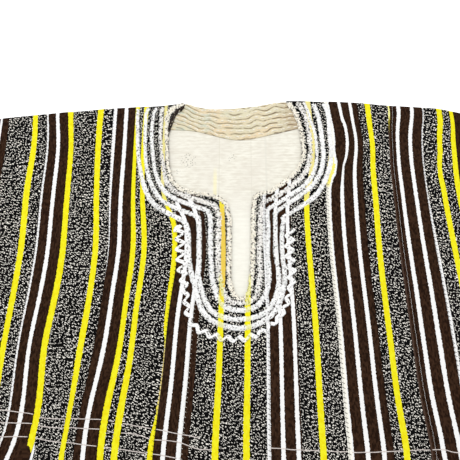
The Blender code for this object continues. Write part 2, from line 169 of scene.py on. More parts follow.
# How the laid cloth is drawn sideways: across, down, reach across, reach down, shift
PULLS = (
    (-0.262, -0.005, 0.070, 0.068, -0.0140),
    (0.265, 0.008, 0.067, 0.043, 0.0136),
    (-0.143, 0.250, 0.125, 0.067, 0.0083),
    (0.129, 0.244, 0.120, 0.099, -0.0036),
    (-0.167, 0.455, 0.036, 0.081, -0.0084),
    (0.174, 0.074, 0.076, 0.036, 0.0053),
    (-0.099, 0.517, 0.096, 0.080, -0.0091),
    (0.251, 0.500, 0.115, 0.047, 0.0057),
    (-0.274, 0.523, 0.062, 0.036, -0.0106),
    (-0.061, 0.231, 0.035, 0.091, 0.0063),
    (-0.134, 0.078, 0.025, 0.100, -0.0069),
    (0.068, 0.316, 0.094, 0.094, 0.0024),
    (0.068, 0.136, 0.029, 0.039, 0.0053),
    (0.315, 0.059, 0.040, 0.060, 0.0065),
    (-0.155, 0.094, 0.036, 0.118, 0.0073),
    (0.309, 0.387, 0.059, 0.145, 0.0054),
    (-0.183, 0.379, 0.054, 0.082, 0.0088),
    (0.209, 0.155, 0.025, 0.104, 0.0040),
    (0.148, 0.046, 0.028, 0.074, 0.0088),
    (-0.321, 0.138, 0.051, 0.075, -0.0060),
    (-0.197, 0.079, 0.036, 0.079, -0.0056),
    (-0.225, 0.381, 0.051, 0.050, -0.0063),
    (-0.338, 0.020, 0.030, 0.080, -0.0065),
)

# Soft folds raised in the front: across and down at each end, half width, height
FOLDS = (
    (-0.330, 0.10, -0.325, 0.34, 0.030, 0.0030),
    (-0.235, 0.16, -0.250, 0.40, 0.028, 0.0022),
    (0.262, 0.08, 0.250, 0.36, 0.030, 0.0026),
    (0.335, 0.14, 0.345, 0.42, 0.028, 0.0030),
    (-0.440, 0.60, -0.490, 0.93, 0.026, 0.0075),
    (-0.345, 0.55, -0.390, 0.93, 0.030, 0.0060),
    (-0.205, 0.54, -0.225, 0.93, 0.030, 0.0080),
    (-0.085, 0.60, -0.090, 0.93, 0.028, 0.0055),
    (0.030, 0.56, 0.025, 0.93, 0.032, 0.0070),
    (0.150, 0.62, 0.165, 0.93, 0.028, 0.0055),
    (0.225, 0.53, 0.250, 0.93, 0.028, 0.0080),
    (0.335, 0.56, 0.375, 0.93, 0.030, 0.0062),
    (0.430, 0.61, 0.475, 0.93, 0.026, 0.0075),
)

# Neck edge and embroidery: across, down, heading in degrees, distance out to rows 2, 3, 4, 5 and the zigzag
SECTIONS = (
    (-0.0680, -0.006, 180, 0.0370, 0.0450, 0.0585, 0.0770, 0.085),
    (-0.0775, 0.0105, 180, 0.0305, 0.0395, 0.0522, 0.0685, 0.078),
    (-0.0885, 0.022, 180, 0.0223, 0.0335, 0.0452, 0.0585, 0.069),
    (-0.0940, 0.038, 180, 0.0156, 0.0290, 0.0394, 0.0520, 0.064),
    (-0.0980, 0.060, 180, 0.0117, 0.0250, 0.0350, 0.0462, 0.058),
    (-0.0960, 0.090, 178, 0.0107, 0.0237, 0.0346, 0.0453, 0.056),
    (-0.0930, 0.116, 173, 0.0093, 0.0221, 0.0335, 0.0428, 0.054),
    (-0.0870, 0.137, 156, 0.0099, 0.0204, 0.0317, 0.0429, 0.054),
    (-0.0750, 0.149, 139, 0.0108, 0.0214, 0.0337, 0.0459, 0.058),
    (-0.0560, 0.1565, 117, 0.0109, 0.0210, 0.0338, 0.0469, 0.060),
    (-0.0330, 0.160, 127, 0.0155, 0.0267, 0.0401, 0.0568, 0.069),
    (-0.0130, 0.169, 143, 0.0168, 0.0295, 0.0463, 0.0658, 0.075),
    (-0.0040, 0.192, 169, 0.0160, 0.0287, 0.0452, 0.0652, 0.0755),
    (-0.0030, 0.220, 180, 0.0169, 0.0285, 0.0442, 0.0597, 0.0715),
    (-0.0030, 0.260, 180, 0.0176, 0.0272, 0.0434, 0.0570, 0.068),
    (-0.0025, 0.286, 171, 0.0151, 0.0248, 0.0428, 0.0502, 0.063),
    (0.0020, 0.306, 139, 0.0129, 0.0233, 0.0388, 0.0487, 0.069),
    (0.0110, 0.313, 90, 0.0072, 0.0170, 0.0289, 0.0404, 0.0545),
    (0.0190, 0.306, 41, 0.0115, 0.0219, 0.0358, 0.0436, 0.053),
    (0.0225, 0.286, 9, 0.0141, 0.0263, 0.0397, 0.0470, 0.056),
    (0.0250, 0.250, 0, 0.0111, 0.0227, 0.0332, 0.0426, 0.0525),
    (0.0260, 0.215, 0, 0.0127, 0.0233, 0.0333, 0.0428, 0.0535),
    (0.0270, 0.182, 17, 0.0129, 0.0227, 0.0340, 0.0477, 0.056),
    (0.0330, 0.1595, 49, 0.0178, 0.0295, 0.0413, 0.0544, 0.064),
    (0.0490, 0.156, 60, 0.0134, 0.0239, 0.0330, 0.0463, 0.058),
    (0.0685, 0.1430, 53, 0.0135, 0.0234, 0.0324, 0.0464, 0.057),
    (0.0842, 0.1300, 41, 0.0136, 0.0252, 0.0332, 0.0476, 0.0575),
    (0.0963, 0.1142, 26, 0.0134, 0.0242, 0.0334, 0.0440, 0.056),
    (0.1028, 0.0935, 6, 0.0123, 0.0220, 0.0316, 0.0436, 0.059),
    (0.1020, 0.0600, 0, 0.0131, 0.0219, 0.0314, 0.0442, 0.060),
    (0.0985, 0.038, 0, 0.0139, 0.0208, 0.0336, 0.0484, 0.062),
    (0.0930, 0.0205, 0, 0.0157, 0.0230, 0.0361, 0.0530, 0.064),
    (0.0845, 0.004, 0, 0.0168, 0.0262, 0.0399, 0.0562, 0.068),
    (0.0780, -0.010, 0, 0.0190, 0.0280, 0.0410, 0.0580, 0.070),
)

# Embroidered rows: widths, how far their stitches lean, and the first row's place on the edge
ROW_WIDTHS = (0.0062, 0.0066, 0.0060, 0.0060, 0.0062)
ROW_SLANTS = (0.0014, 0.0004, 0.0004, 0.0004, 0.0004)
EDGE_ROW_OFFSET = 0.0022
EDGE_ROW_EXTRA = 0.0110
EDGE_EXTRA_END = 0.060
EDGE_EXTRA_REACH = 0.050
ROW_CLEARANCE = 0.002

# Start of the first row, which turns along the shoulder towards the corner of the neck: across, down
CORNER_TURN = ((-0.0755, 0.0072), (-0.0805, 0.0074), (-0.0860, 0.0088), (-0.0905, 0.0125))
CORNER_END = 0.0135

# Where rows are broader or slimmer: which rows, the change as a share, the side of the neck, where it
# starts across and its run there, then its top and its bottom, each with the run over which it sets in
ROW_CHANGES = (
    ((1,), 0.25, -1, -0.060, 0.030, -1.000, 0.030, 0.050, 0.030),
    ((1,), -0.28, -1, -0.060, 0.030, 0.055, 0.030, 0.135, 0.020),
    ((2, 3, 4, 5), -0.28, -1, -0.060, 0.030, -1.000, 0.030, 0.160, 0.050),
    ((3, 4, 5), -0.16, 1, 0.034, 0.010, 0.165, 0.020, 0.300, 0.030),
    ((3,), -0.38, 1, 0.090, 0.030, -1.000, 0.030, 0.150, 0.050),
)

# Stitches laid across a row: place as a share of their reach and height over the cloth, then their
# least, usual and most reach as a share of half the row, which is less ragged in each row outwards
STITCH_PITCH = 0.0017
STITCH_ARCH = ((-1.0, -0.0005), (-0.65, 0.0004), (0.0, 0.0009), (0.65, 0.0004), (1.0, -0.0005))
STITCH_REACH = (0.30, 1.05, 1.12)
STITCH_RAGGED = 2.0
STITCH_EVENER = 0.3
STITCH_THICK = 0.50
STITCH_THICK_CHANGE = 0.16

# Zigzag of two strands that closes the placket, and swings less at the foot of the slit
PLACKET_TOP = 0.212
ZIGZAG_PITCH = 0.0150
ZIGZAG_SWING = 0.0052
ZIGZAG_STEPS = 16
ZIGZAG_LEAST = 0.55
ZIGZAG_FULL_ABOVE = 0.310
ZIGZAG_EASE = 0.040
ZIGZAG_LIFT = 0.0006
ZIGZAG_THICK = 0.00145
ZIGZAG_THICK_CHANGE = 0.00014
STRAND_SHIFT = 0.00100

# Turned edge of the opening, near-black as folded cloth and painted shadow: thick at the left shoulder,
# thin elsewhere
FOLD_LEFT_OF = 0.030
FOLD_THIN = 0.00080
FOLD_THIN_RIGHT = 0.00050
FOLD_THICK = 0.0022
FOLD_TOP = 0.014
FOLD_TOP_RUN = 0.006
FOLD_TOP_LESS = 0.5
FOLD_FOOT = 0.070
FOLD_FOOT_RUN = 0.030
FOLD_UNEVEN = 0.15
FOLD_SUNK = 0.25
FOLD_OFFSET = 0.0004
FOLD_STEP = 0.0015

# Whip stitches along the seams: across, whether the yarn is pale, then the stitch's x, y and height
SEAM_STITCHES = (
    (-0.276, False),
    (-0.181, False),
    (-0.087, False),
    (-0.055, True),
    (0.045, False),
    (0.137, False),
    (0.188, False),
    (0.280, False),
)
SEAM_STITCH = (
    (-0.0019, 0.0010, -0.0002),
    (-0.0010, 0.0005, 0.0001),
    (0.0, 0.0, 0.0001),
    (0.0010, -0.0005, 0.0001),
    (0.0019, -0.0010, -0.0002),
)
SEAM_YARN = 0.00026
SEAM_PITCH = 0.0058
SEAM_PITCH_CHANGE = 0.0009
SEAM_MARGIN = 0.004
SEAM_CLEARANCE = 0.004

# Running stitches across the front, as x and metres below the shoulders
THREAD_ROWS = (
    ((-0.300, 0.4520), (-0.278, 0.4540), (-0.246, 0.4580), (-0.227, 0.4630), (-0.163, 0.4640),
     (-0.134, 0.4690), (-0.096, 0.4750), (-0.062, 0.4810), (-0.041, 0.4850)),
    ((-0.300, 0.4665), (-0.278, 0.4680), (-0.244, 0.4690), (-0.224, 0.4730), (-0.163, 0.4750),
     (-0.144, 0.4790), (-0.118, 0.4810), (-0.096, 0.4870), (-0.068, 0.4890), (-0.043, 0.4970),
     (-0.019, 0.4980)),
    ((-0.300, 0.4850), (-0.279, 0.4840), (-0.244, 0.4840), (-0.223, 0.4880), (-0.163, 0.4940),
     (-0.133, 0.4980), (-0.095, 0.5030), (-0.067, 0.5070)),
    ((0.045, 0.4960), (0.072, 0.4980), (0.099, 0.4990), (0.146, 0.5010), (0.186, 0.5000),
     (0.245, 0.4980), (0.264, 0.5010), (0.300, 0.5040)),
)
THREAD_THICK = 0.00055
THREAD_LIFT = 0.0001
THREAD_WOBBLE = 0.0005
THREAD_STEP = 0.0016

# Running stitches that hold the facing: how far they reach to each side, the share of its depth that
# they leave free, their lengths and gaps in steps along a row, then their thickness and height
HOLDING_HALF = 0.108
HOLDING_EDGE = 0.02
HOLDING_STEP = 0.0012
HOLDING_LEAST = 5
HOLDING_MORE = 9.0
HOLDING_GAP = 2
HOLDING_LAST = 12
HOLDING_THIN = 0.00060
HOLDING_THICKER = 0.0003
HOLDING_ARCH = 0.0006
HOLDING_SUNK = 0.0003

# Where the woven stripes leave their own line in the strips: across, reach left and right, start and
# end down, fade, shift
DRIFTS = (
    (-0.090, 0.042, 0.065, -0.50, 0.212, 0.065, 0.0160),
    (0.112, 0.034, 0.025, -0.50, 0.168, 0.050, -0.0085),
    (0.150, 0.013, 0.0080, 0.074, 0.160, 0.040, -0.0076),
    (0.160, 0.009, 0.011, 0.030, 0.113, 0.014, -0.0034),
    (-0.178, 0.012, 0.042, -0.50, 0.300, 0.260, -0.0035),
    (-0.087, 0.012, 0.0001, 0.250, 0.520, 0.110, -0.0028),
    (-0.087, 0.012, 0.0001, 0.345, 0.497, 0.034, -0.0026),
    (-0.181, 0.0001, 0.030, 0.240, 2.00, 0.080, 0.0012),
    (-0.2345, 0.014, 0.0001, 0.484, 2.00, 0.020, -0.0090),
    (-0.2345, 0.0001, 0.009, 0.490, 0.535, 0.012, -0.0040),
    (0.280, 0.0001, 0.012, -0.50, 0.260, 0.120, 0.0020),
    (0.316, 0.022, 0.040, -0.50, 0.072, 0.040, -0.0032),
    (0.3045, 0.012, 0.012, 0.085, 0.155, 0.030, 0.0030),
)

# Woven strips, left to right: name, left edge, right edge, then bands as (yarn, right limit)
STRIPS = (
    ("side_left", -0.380, -0.276, (("brown", -0.3510), ("white", -0.3458), ("brown", -0.3340),
        ("mottled", -0.2980), ("yellow", -0.2905), ("mottled", -0.276))),
    ("brown_left", -0.276, -0.2345, (("white", -0.2731), ("brown", -0.2615), ("white", -0.2563),
        ("brown", -0.2430), ("yellow", -0.2355), ("mottled", -0.2345))),
    ("mottled_left", -0.2345, -0.181, (("white", -0.2344), ("mottled", -0.2008), ("yellow", -0.1934),
        ("mottled", -0.181))),
    ("wide_left", -0.181, -0.087, (("white", -0.1802), ("brown", -0.1701), ("white", -0.1649),
        ("brown", -0.1510), ("yellow", -0.1440), ("mottled", -0.1355), ("yellow", -0.1280),
        ("mottled", -0.0935), ("yellow", -0.087), ("mottled", -0.0726))),
    ("narrow_left", -0.087, -0.055, (("brown", -0.0778), ("white", -0.0726), ("brown", -0.0604),
        ("white", -0.0552), ("brown", -0.055))),
    ("centre", -0.055, 0.045, (("brown", -0.0470), ("mottled", -0.0213), ("yellow", -0.0138),
        ("mottled", 0.0140), ("yellow", 0.0214), ("mottled", 0.0415), ("white", 0.045))),
    ("inner_right", 0.045, 0.137, (("white", 0.0460), ("brown", 0.0576), ("white", 0.0628),
        ("brown", 0.0752), ("white", 0.0804), ("brown", 0.0822), ("mottled", 0.1027),
        ("yellow", 0.1101), ("mottled", 0.1350), ("yellow", 0.137))),
    ("brown_right", 0.137, 0.188, (("yellow", 0.1400), ("white", 0.1416), ("brown", 0.1551),
        ("white", 0.1603), ("brown", 0.1738), ("white", 0.1790), ("brown", 0.188))),
    ("mottled_right", 0.188, 0.238, (("mottled", 0.1984), ("yellow", 0.2058), ("mottled", 0.2298),
        ("yellow", 0.2320), ("brown", 0.2357), ("white", 0.2359), ("brown", 0.238))),
    ("outer_right", 0.238, 0.280, (("brown", 0.2417), ("white", 0.2469), ("brown", 0.2608),
        ("white", 0.2660), ("brown", 0.2795), ("white", 0.280))),
    ("side_right", 0.280, 0.380, (("white", 0.2830), ("mottled", 0.3010), ("yellow", 0.3084),
        ("mottled", 0.3218), ("yellow", 0.3298), ("brown", 0.3510), ("white", 0.3562),
        ("brown", 0.380))),
)
NECK_STRIPS = ("wide_left", "narrow_left", "centre", "inner_right")

# Bands of the sleeves' strips from the body outwards, and of the gores from their seam
SLEEVE_BANDS = {
    "upper": (("brown", 0.0060), ("white", 0.0112), ("brown", 0.0300), ("white", 0.0352),
        ("mottled", 0.0620), ("yellow", 0.0694), ("mottled", 0.0940), ("white", 0.0992), ("brown", 0.1100)),
    "cuff": (("brown", 0.0110), ("white", 0.0162), ("brown", 0.0290), ("mottled", 0.0560),
        ("yellow", 0.0634), ("mottled", 0.0800), ("yellow", 0.0874), ("mottled", 0.1040),
        ("brown", 0.1100)),
}
GORE_BANDS = (("white", 0.0045), ("mottled", 0.0320), ("yellow", 0.0394), ("mottled", 0.0660),
    ("brown", 0.0850), ("white", 0.0902), ("mottled", 0.125))

# Yarn of the strip cloth, and how far the edges of its stripes waver
YARN_WIDTH = 0.0017
WEFT_WIDTH = 0.0018
STRIPE_WAVER = 0.0018
FLOAT_SHARE = 0.45
WEAVE_DEPTH = 0.0004
FUZZ_DEPTH = 0.0003
BUMP_STRENGTH = 0.6

# Dashes of pale yarn in the mottled stripes: size, how much they shrink in a metre down, lean, wander,
# and the distance from a dash's middle where it ends
SPECK_ACROSS = 0.0026
SPECK_DOWN = 0.0045
SPECK_SHRINK = 0.50
SPECK_LEAN = 0.5
SPECK_WANDER = 0.0042
SPECK_RANDOM = 0.95
SPECK_DARK_FROM = 0.320
SPECK_PALE_TO = 0.258
SPECK_PATCHES = 0.16

# Colours of the yarns, and the ramp's code for each: red is yellow yarn, green white, blue brown
YARN_CODES = {"mottled": (0, 0, 0, 1), "yellow": (1, 0, 0, 1), "white": (0, 1, 0, 1), "brown": (0, 0, 1, 1)}
BLACK_YARN = (0.0030, 0.0028, 0.0030)
PALE_YARN = (0.92, 0.885, 0.80)
BROWN_YARN = (0.0140, 0.0060, 0.0030)
BROWN_LIGHT = (0.0380, 0.0180, 0.0095)
YELLOW_YARN = (0.785, 0.750, 0.020)
YELLOW_DEEP = (0.755, 0.655, 0.008)
WHITE_YARN = (0.84, 0.84, 0.83)
WHITE_SHADE = (0.70, 0.70, 0.71)

# Yellow yarn that is faded, stained or browner in places: across, down, reach across and down, colour
FADED_PLACES = (
    (-0.090, 0.060, 0.030, 0.110, (0.70, 0.63, 0.26)),
    (0.107, 0.060, 0.030, 0.112, (0.74, 0.66, 0.26)),
    (-0.018, 0.245, 0.012, 0.070, (0.74, 0.53, 0.08)),
    (0.1362, 0.450, 0.006, 0.600, (0.84, 0.82, 0.74)),
    (0.1362, 0.122, 0.006, 0.026, (0.80, 0.70, 0.22)),
    (0.1380, 0.450, 0.006, 0.600, (0.84, 0.82, 0.74)),
    (0.1380, 0.122, 0.006, 0.026, (0.80, 0.72, 0.16)),
    (-0.0903, 0.412, 0.005, 0.048, (0.74, 0.60, 0.22)),
    (0.2309, 0.590, 0.003, 0.600, (0.060, 0.035, 0.025)),
    (0.2309, 0.115, 0.003, 0.082, (0.060, 0.035, 0.025)),
    (0.2309, 0.010, 0.003, 0.020, (0.86, 0.83, 0.30)),
)

# Where spots end and where they are full, as squared shares of their reach
SPOT_EDGE = (1.2, 0.6)

# Undyed lining: cloth in the light, between its wefts, where it is greyer, and painted light lower down
# against the shade of the deep slit
LINING_LIGHT = (0.825, 0.805, 0.715)
LINING_SHADE = (0.700, 0.665, 0.570)
LINING_CLOUD = (0.70, 0.66, 0.58)
LINING_PAINTED_LIGHT = (0.90, 0.89, 0.81)
LINING_SPECK = (0.16, 0.14, 0.10)
LINING_YARNS = (0.0011, 0.0016)

# Seams and a faint yellow band of the lining: across, half width, colour, weight, start down
LINING_LINES = (
    (-0.0205, 0.0008, (0.66, 0.63, 0.52), 0.7, -1.0),
    (0.0270, 0.0008, (0.68, 0.65, 0.56), 0.6, -1.0),
    (0.0490, 0.0022, (0.68, 0.66, 0.58), 0.5, -1.0),
    (-0.0262, 0.0036, (0.86, 0.80, 0.45), 0.55, 0.112),
)

# Groups of stray specks on the lining: across, down, reach
LINING_SPECKS = ((-0.066, 0.103, 0.013), (-0.002, 0.098, 0.007), (-0.082, 0.121, 0.005))

# Faded facing: tan, warmer and cooler patches, painted shade of the furrows to the left and to the right,
# painted shade at the right end
FACING_TAN = (0.67, 0.62, 0.45)
FACING_WARM = (0.73, 0.60, 0.40)
FACING_COOL = (0.50, 0.58, 0.50)
FURROW_SHADE_LEFT = (0.27, 0.215, 0.135)
FURROW_SHADE_RIGHT = (0.16, 0.105, 0.060)
FACING_END_SHADE = (0.34, 0.25, 0.16)
FACING_YARNS = (0.0012, 0.0015)

# Yarns of the needlework: colour, painted shade in the furrows, then for the flecks their colour and the
# noise above which they show
NEEDLE_YARNS = {
    "white_embroidery_yarn": ((0.97, 0.97, 0.96), (0.78, 0.78, 0.77), ((0.10, 0.09, 0.08), 0.615)),
    "flecked_embroidery_yarn": ((0.95, 0.93, 0.90), (0.72, 0.70, 0.66), ((0.04, 0.035, 0.03), 0.585)),
    "beige_edging_yarn": ((0.93, 0.90, 0.81), (0.76, 0.71, 0.60), ((0.04, 0.035, 0.03), 0.59)),
    # the turned edge is near-black partly as folded cloth and partly as painted shadow
    "edge_fold_with_painted_shadow": ((0.040, 0.028, 0.022), (0.010, 0.008, 0.007), ((0.62, 0.56, 0.44), 0.64)),
    "pale_seam_thread": ((0.80, 0.77, 0.70), (0.60, 0.57, 0.50), None),
    "dark_seam_thread": ((0.030, 0.017, 0.012), (0.012, 0.009, 0.008), None),
    "running_stitch_thread": ((0.72, 0.66, 0.62), (0.52, 0.46, 0.43), None),
    "facing_thread": ((0.88, 0.86, 0.79), (0.70, 0.64, 0.50), None),
}
FUZZ_SCALE = 420.0
FLECK_SCALE = 360.0
FLECK_SOFTNESS = 0.05

# Flecks end between these places across, and yellow stripes below these heights tint the rows over them
CLEAN_YARN = (0.128, 0.140)
CLEAN_WEIGHT = -0.12
STRIPES_UNDER_ROWS = (-0.0158, 0.0203)
TINT_EDGE = (0.0042, 0.0030)
TINT_BELOW = (0.162, 0.150)
TINT_WEIGHT = 0.5

# Floor, light and camera
FLOOR_SIZE = 6.0
FLOOR_DROP = -0.0005
FLOOR_COLOUR = (0.95, 0.95, 0.95, 1.0)
FLOOR_GLOW = 0.35
WHITE_LIGHT = (1.0, 1.0, 1.0, 1.0)
SKY_LIGHT = 0.75
LAMP_SIZE = (2.2, 1.6)
LAMP_POWER = 34.0
LAMP_PLACE = (-0.20, 0.75, 2.2)
LAMP_AIM = (0.0, 0.15, 0.0)
LENS = 40.0
SENSOR = 36.0
PICTURE_WIDTH = 460.0
PICTURE_SHIFT = -3.0
VIEW_MIDDLE = (0.0, 0.224, 0.0065)
CAMERA_REACH = 0.714
CAMERA_TILT = radians(22.2)


def smooth(value):
    """Rise from 0 to 1 with level ends."""
    value = min(max(value, 0.0), 1.0)
    return value * value * (3.0 - 2.0 * value)


def table_value(table, across):
    """Value of a table of (across, value) at a place, in straight lines between its rows."""
    if across <= table[0][0]:
        return table[0][1]
    for (left, low), (right, high) in zip(table, table[1:]):
        if across <= right:
            return low + (high - low) * (across - left) / (right - left)
    return table[-1][1]


def shoulder(across):
    """How far down the front's upper line lies."""
    return table_value(SHOULDER, across)


def back_top(across):
    """How far down the back's upper line lies, with the dip of the back neck."""
    share = min(1.0, abs(across) / BACK_NECK_HALF)
    return shoulder(across) + BACK_NECK_DROP * (1.0 - share * share)


def hem(across):
    """How far down the curved hem lies."""
    return BODY_LENGTH - HEM_LIFT * (across / HALF_BODY) ** 2


def gore_opening(down):
    """Width of a gore at a place down."""
    run = max(0.0, down - GORE_TOP)
    full = BODY_LENGTH - GORE_TOP
    return GORE_WIDTH * (run * run / (run + GORE_EASE)) / (full * full / (full + GORE_EASE))


def sway(across, down):
    """Sideways shift of the laid cloth, which fades out towards the side seams."""
    total = 0.0
    for middle, height, reach_across, reach_down, shift in PULLS:
        distance = ((across - middle) / reach_across) ** 2 + ((down - height) / reach_down) ** 2
        if distance < 9.0:
            total += shift * exp(-distance)
    return total * smooth((HALF_BODY - abs(across)) / SIDE_FADE)


def laid(across, down, side=0):
    """Plan position of a place on the body. Side is -1 or 1 outside a gore and 0 inside them."""
    return across + sway(across, down) + side * gore_opening(down), BODY_LENGTH / 2.0 - down


def drift(across, down):
    """How far off its own line the woven pattern is drawn."""
    total = 0.0
    for middle, left, right, start, end, fade, shift in DRIFTS:
        aside = (across - middle) / (left if across < middle else right)
        if abs(aside) < 1.0:
            shown = smooth((down - start) / fade) * smooth((end - down) / fade)
            total += shift * (1.0 - aside * aside) ** 2 * shown
    return total


def fold_height(x, down):
    """Height of the soft folds at a plan position."""
    total = 0.0
    for start_x, start_down, end_x, end_down, half_width, height in FOLDS:
        run_x = end_x - start_x
        run_down = end_down - start_down
        length = hypot(run_x, run_down)
        along = ((x - start_x) * run_x + (down - start_down) * run_down) / length
        aside = ((x - start_x) * run_down - (down - start_down) * run_x) / length
        if 0.0 < along < length and abs(aside) < 3.0 * half_width:
            ends = smooth(along / FOLD_END) * smooth((length - along) / FOLD_END)
            total += height * ends * exp(-(aside / half_width) ** 2)
    return total


def uneven(first, second, third):
    """Smooth noise between about -1 and 1, the same in each run."""
    return noise.noise(Vector((first, second, third)))


def ripple(x, y, kind):
    """Unevenness of a hand-woven face."""
    height, across, along, place = kind
    return height * uneven(x * across, y * along, place)


def front_under(x, y):
    """Height of the front's underside above the table."""
    down = BODY_LENGTH / 2.0 - y
    beside = smooth((YOKE_HALF + YOKE_SLOPE - abs(x)) / YOKE_SLOPE)
    below = smooth((YOKE_DOWN + YOKE_SLOPE - down) / YOKE_SLOPE)
    return CLOTH + GAP + YOKE_RISE * beside * below + fold_height(x, down)


def front_top(x, y):
    """Height of the front's face."""
    return front_under(x, y) + CLOTH + ripple(x, y, FRONT_RIPPLE)


def back_top_face(x, y):
    """Height of the back's upper face."""
    return CLOTH + ripple(x, y, BACK_RIPPLE)


def flat_height(height):
    """A level face, as the function that cloth_sheet asks for."""
    return lambda x, y: height


def smooth_rows(table, samples):
    """Catmull-Rom curve through rows of a table, every column treated alike."""
    curve = []
    last = len(table) - 1
    for index in range(last):
        before = table[max(index - 1, 0)]
        start = table[index]
        end = table[index + 1]
        after = table[min(index + 2, last)]
        for sample in range(samples):
            share = sample / samples
            row = []
            for a, b, c, d in zip(before, start, end, after):
                bend = (2.0 * a - 5.0 * b + 4.0 * c - d) * share
                turn = (3.0 * b - a - 3.0 * c + d) * share * share
                row.append(b + 0.5 * share * (c - a + bend + turn))
            curve.append(tuple(row))
    curve.append(tuple(table[-1]))
    return curve


FACING_UPPER_EDGE = smooth_rows(FACING_TOPS, 6)
FACING_LOWER_EDGE = smooth_rows(FACING_DEPTHS, 8)

# Layers of the body: name, upper line, face, underside, and the steps of the mesh across and down
LAYERS = (
    ("front", shoulder, front_top, front_under, 0.006, 0.008),
    ("back", back_top, back_top_face, flat_height(0.0), 0.012, 0.02),
)


def on_plan(places):
    """Places given as across and down, as x and y."""
    return [(across, BODY_LENGTH / 2.0 - down) for across, down in places]


def round_the_neck(column=None, beside_edge=0.0, extra=0.0):
    """Plan path round the neck opening, at a column of distances from its edge or close beside it.

    Extra is added where the turned edge shows inside the stitches, at the left shoulder."""
    places = []
    for section in SECTIONS:
        distance = beside_edge if column is None else section[column]
        if section[0] < 0.0:
            distance += extra * max(0.0, (EDGE_EXTRA_END - section[1]) / EDGE_EXTRA_REACH)
        heading = radians(section[2])
        places.append((section[0] + distance * cos(heading), section[1] + distance * sin(heading)))
    return on_plan(smooth_rows(places, NECK_SAMPLES))


def even_path(path, step):
    """The same path with points at even distances."""
    lengths = [0.0]
    for (x0, y0), (x1, y1) in zip(path, path[1:]):
        lengths.append(lengths[-1] + hypot(x1 - x0, y1 - y0))
    count = max(2, round(lengths[-1] / step))
    result = []
    position = 0
    for index in range(count + 1):
        target = lengths[-1] * index / count
        while position < len(path) - 2 and lengths[position + 1] < target:
            position += 1
        share = (target - lengths[position]) / (lengths[position + 1] - lengths[position])
        x0, y0 = path[position]
        x1, y1 = path[position + 1]
        result.append((x0 + (x1 - x0) * share, y0 + (y1 - y0) * share))
    return result


def beside_path(path, distance):
    """The path moved sideways, to its left along its own direction."""
    result = []
    last = len(path) - 1
    for index, (x, y) in enumerate(path):
        x0, y0 = path[max(index - 1, 0)]
        x1, y1 = path[min(index + 1, last)]
        length = hypot(x1 - x0, y1 - y0)
        result.append((x - (y1 - y0) / length * distance, y + (x1 - x0) / length * distance))
    return result


def inside_outline(x, y, outline):
    """Whether a place is inside a closed plan outline."""
    inside = False
    for (x0, y0), (x1, y1) in zip(outline, outline[1:] + outline[:1]):
        if (y0 > y) != (y1 > y) and x < x0 + (x1 - x0) * (y - y0) / (y1 - y0):
            inside = not inside
    return inside


def add(tree, kind, settings=None, inputs=None):
    """Add a shader node, with its settings, and its inputs as values or links."""
    item = tree.nodes.new("ShaderNode" + kind)
    for key, value in (settings or {}).items():
        setattr(item, key, value)
    for key, value in (inputs or {}).items():
        if isinstance(value, bpy.types.NodeSocket):
            tree.links.new(value, item.inputs[key])
        else:
            item.inputs[key].default_value = value
    return item


def calc(tree, operation, first, second=0.0, third=0.0):
    """Result of one step of shader arithmetic."""
    return add(tree, "Math", {"operation": operation}, {0: first, 1: second, 2: third}).outputs[0]


def times(tree, first, second):
    """Product of two values."""
    return calc(tree, "MULTIPLY", first, second)


def mix(tree, share, first, second):
    """Blend two colours, each given as a linear triple or as a socket."""
    item = tree.nodes.new("ShaderNodeMix")
    item.data_type = "RGBA"
    for key, value in ((0, share), (6, first), (7, second)):
        if isinstance(value, bpy.types.NodeSocket):
            tree.links.new(value, item.inputs[key])
        elif key:
            item.inputs[key].default_value = (*value, 1.0)
        else:
            item.inputs[key].default_value = value
    return item.outputs[2]


def grain(tree, x, y, scale_x, scale_y, detail=1.0, shift=0.0):
    """Noise over two coordinates in metres, with its own size along each."""
    place = add(tree, "CombineXYZ", None, {
        0: times(tree, x, 1.0 / scale_x),
        1: calc(tree, "MULTIPLY_ADD", y, 1.0 / scale_y, shift),
    })
    inputs = {"Vector": place.outputs[0], "Scale": 1.0, "Detail": detail}
    return add(tree, "TexNoise", {"noise_dimensions": "2D"}, inputs).outputs[0]


def ramp(tree, value, low, high):
    """Rise from 0 at low to 1 at high, where high may be the lesser."""
    settings = {"interpolation_type": "LINEAR", "clamp": True}
    return add(tree, "MapRange", settings, {"Value": value, "From Min": low, "From Max": high}).outputs[0]


def away_from(tree, value, middle):
    """Distance of a coordinate from a place."""
    return calc(tree, "ABSOLUTE", calc(tree, "SUBTRACT", value, middle))


def spot(tree, across, down, middle, height, reach_across, reach_down):
    """One inside an ellipse, falling to nothing round it."""
    far_across = times(tree, calc(tree, "SUBTRACT", across, middle), 1.0 / reach_across)
    far_down = times(tree, calc(tree, "SUBTRACT", down, height), 1.0 / reach_down)
    far = calc(tree, "ADD", times(tree, far_across, far_across), times(tree, far_down, far_down))
    return ramp(tree, far, *SPOT_EDGE)


def new_material(name, roughness):
    """Material with its node tree and its shader."""
    material = bpy.data.materials.new(name)
    material.use_nodes = True
    shader = material.node_tree.nodes["Principled BSDF"]
    shader.inputs["Roughness"].default_value = roughness
    return material, material.node_tree, shader


def cloth_material(name, roughness):
    """Empty cotton material with its shader, and across and down read from the piece's own map."""
    material, tree, shader = new_material(name, roughness)
    shader.inputs["Specular IOR Level"].default_value = 0.04
    places = add(tree, "SeparateXYZ", None, {0: add(tree, "UVMap", {"uv_map": "cloth"}).outputs[0]})
    return material, tree, shader, places.outputs[0], places.outputs[1]


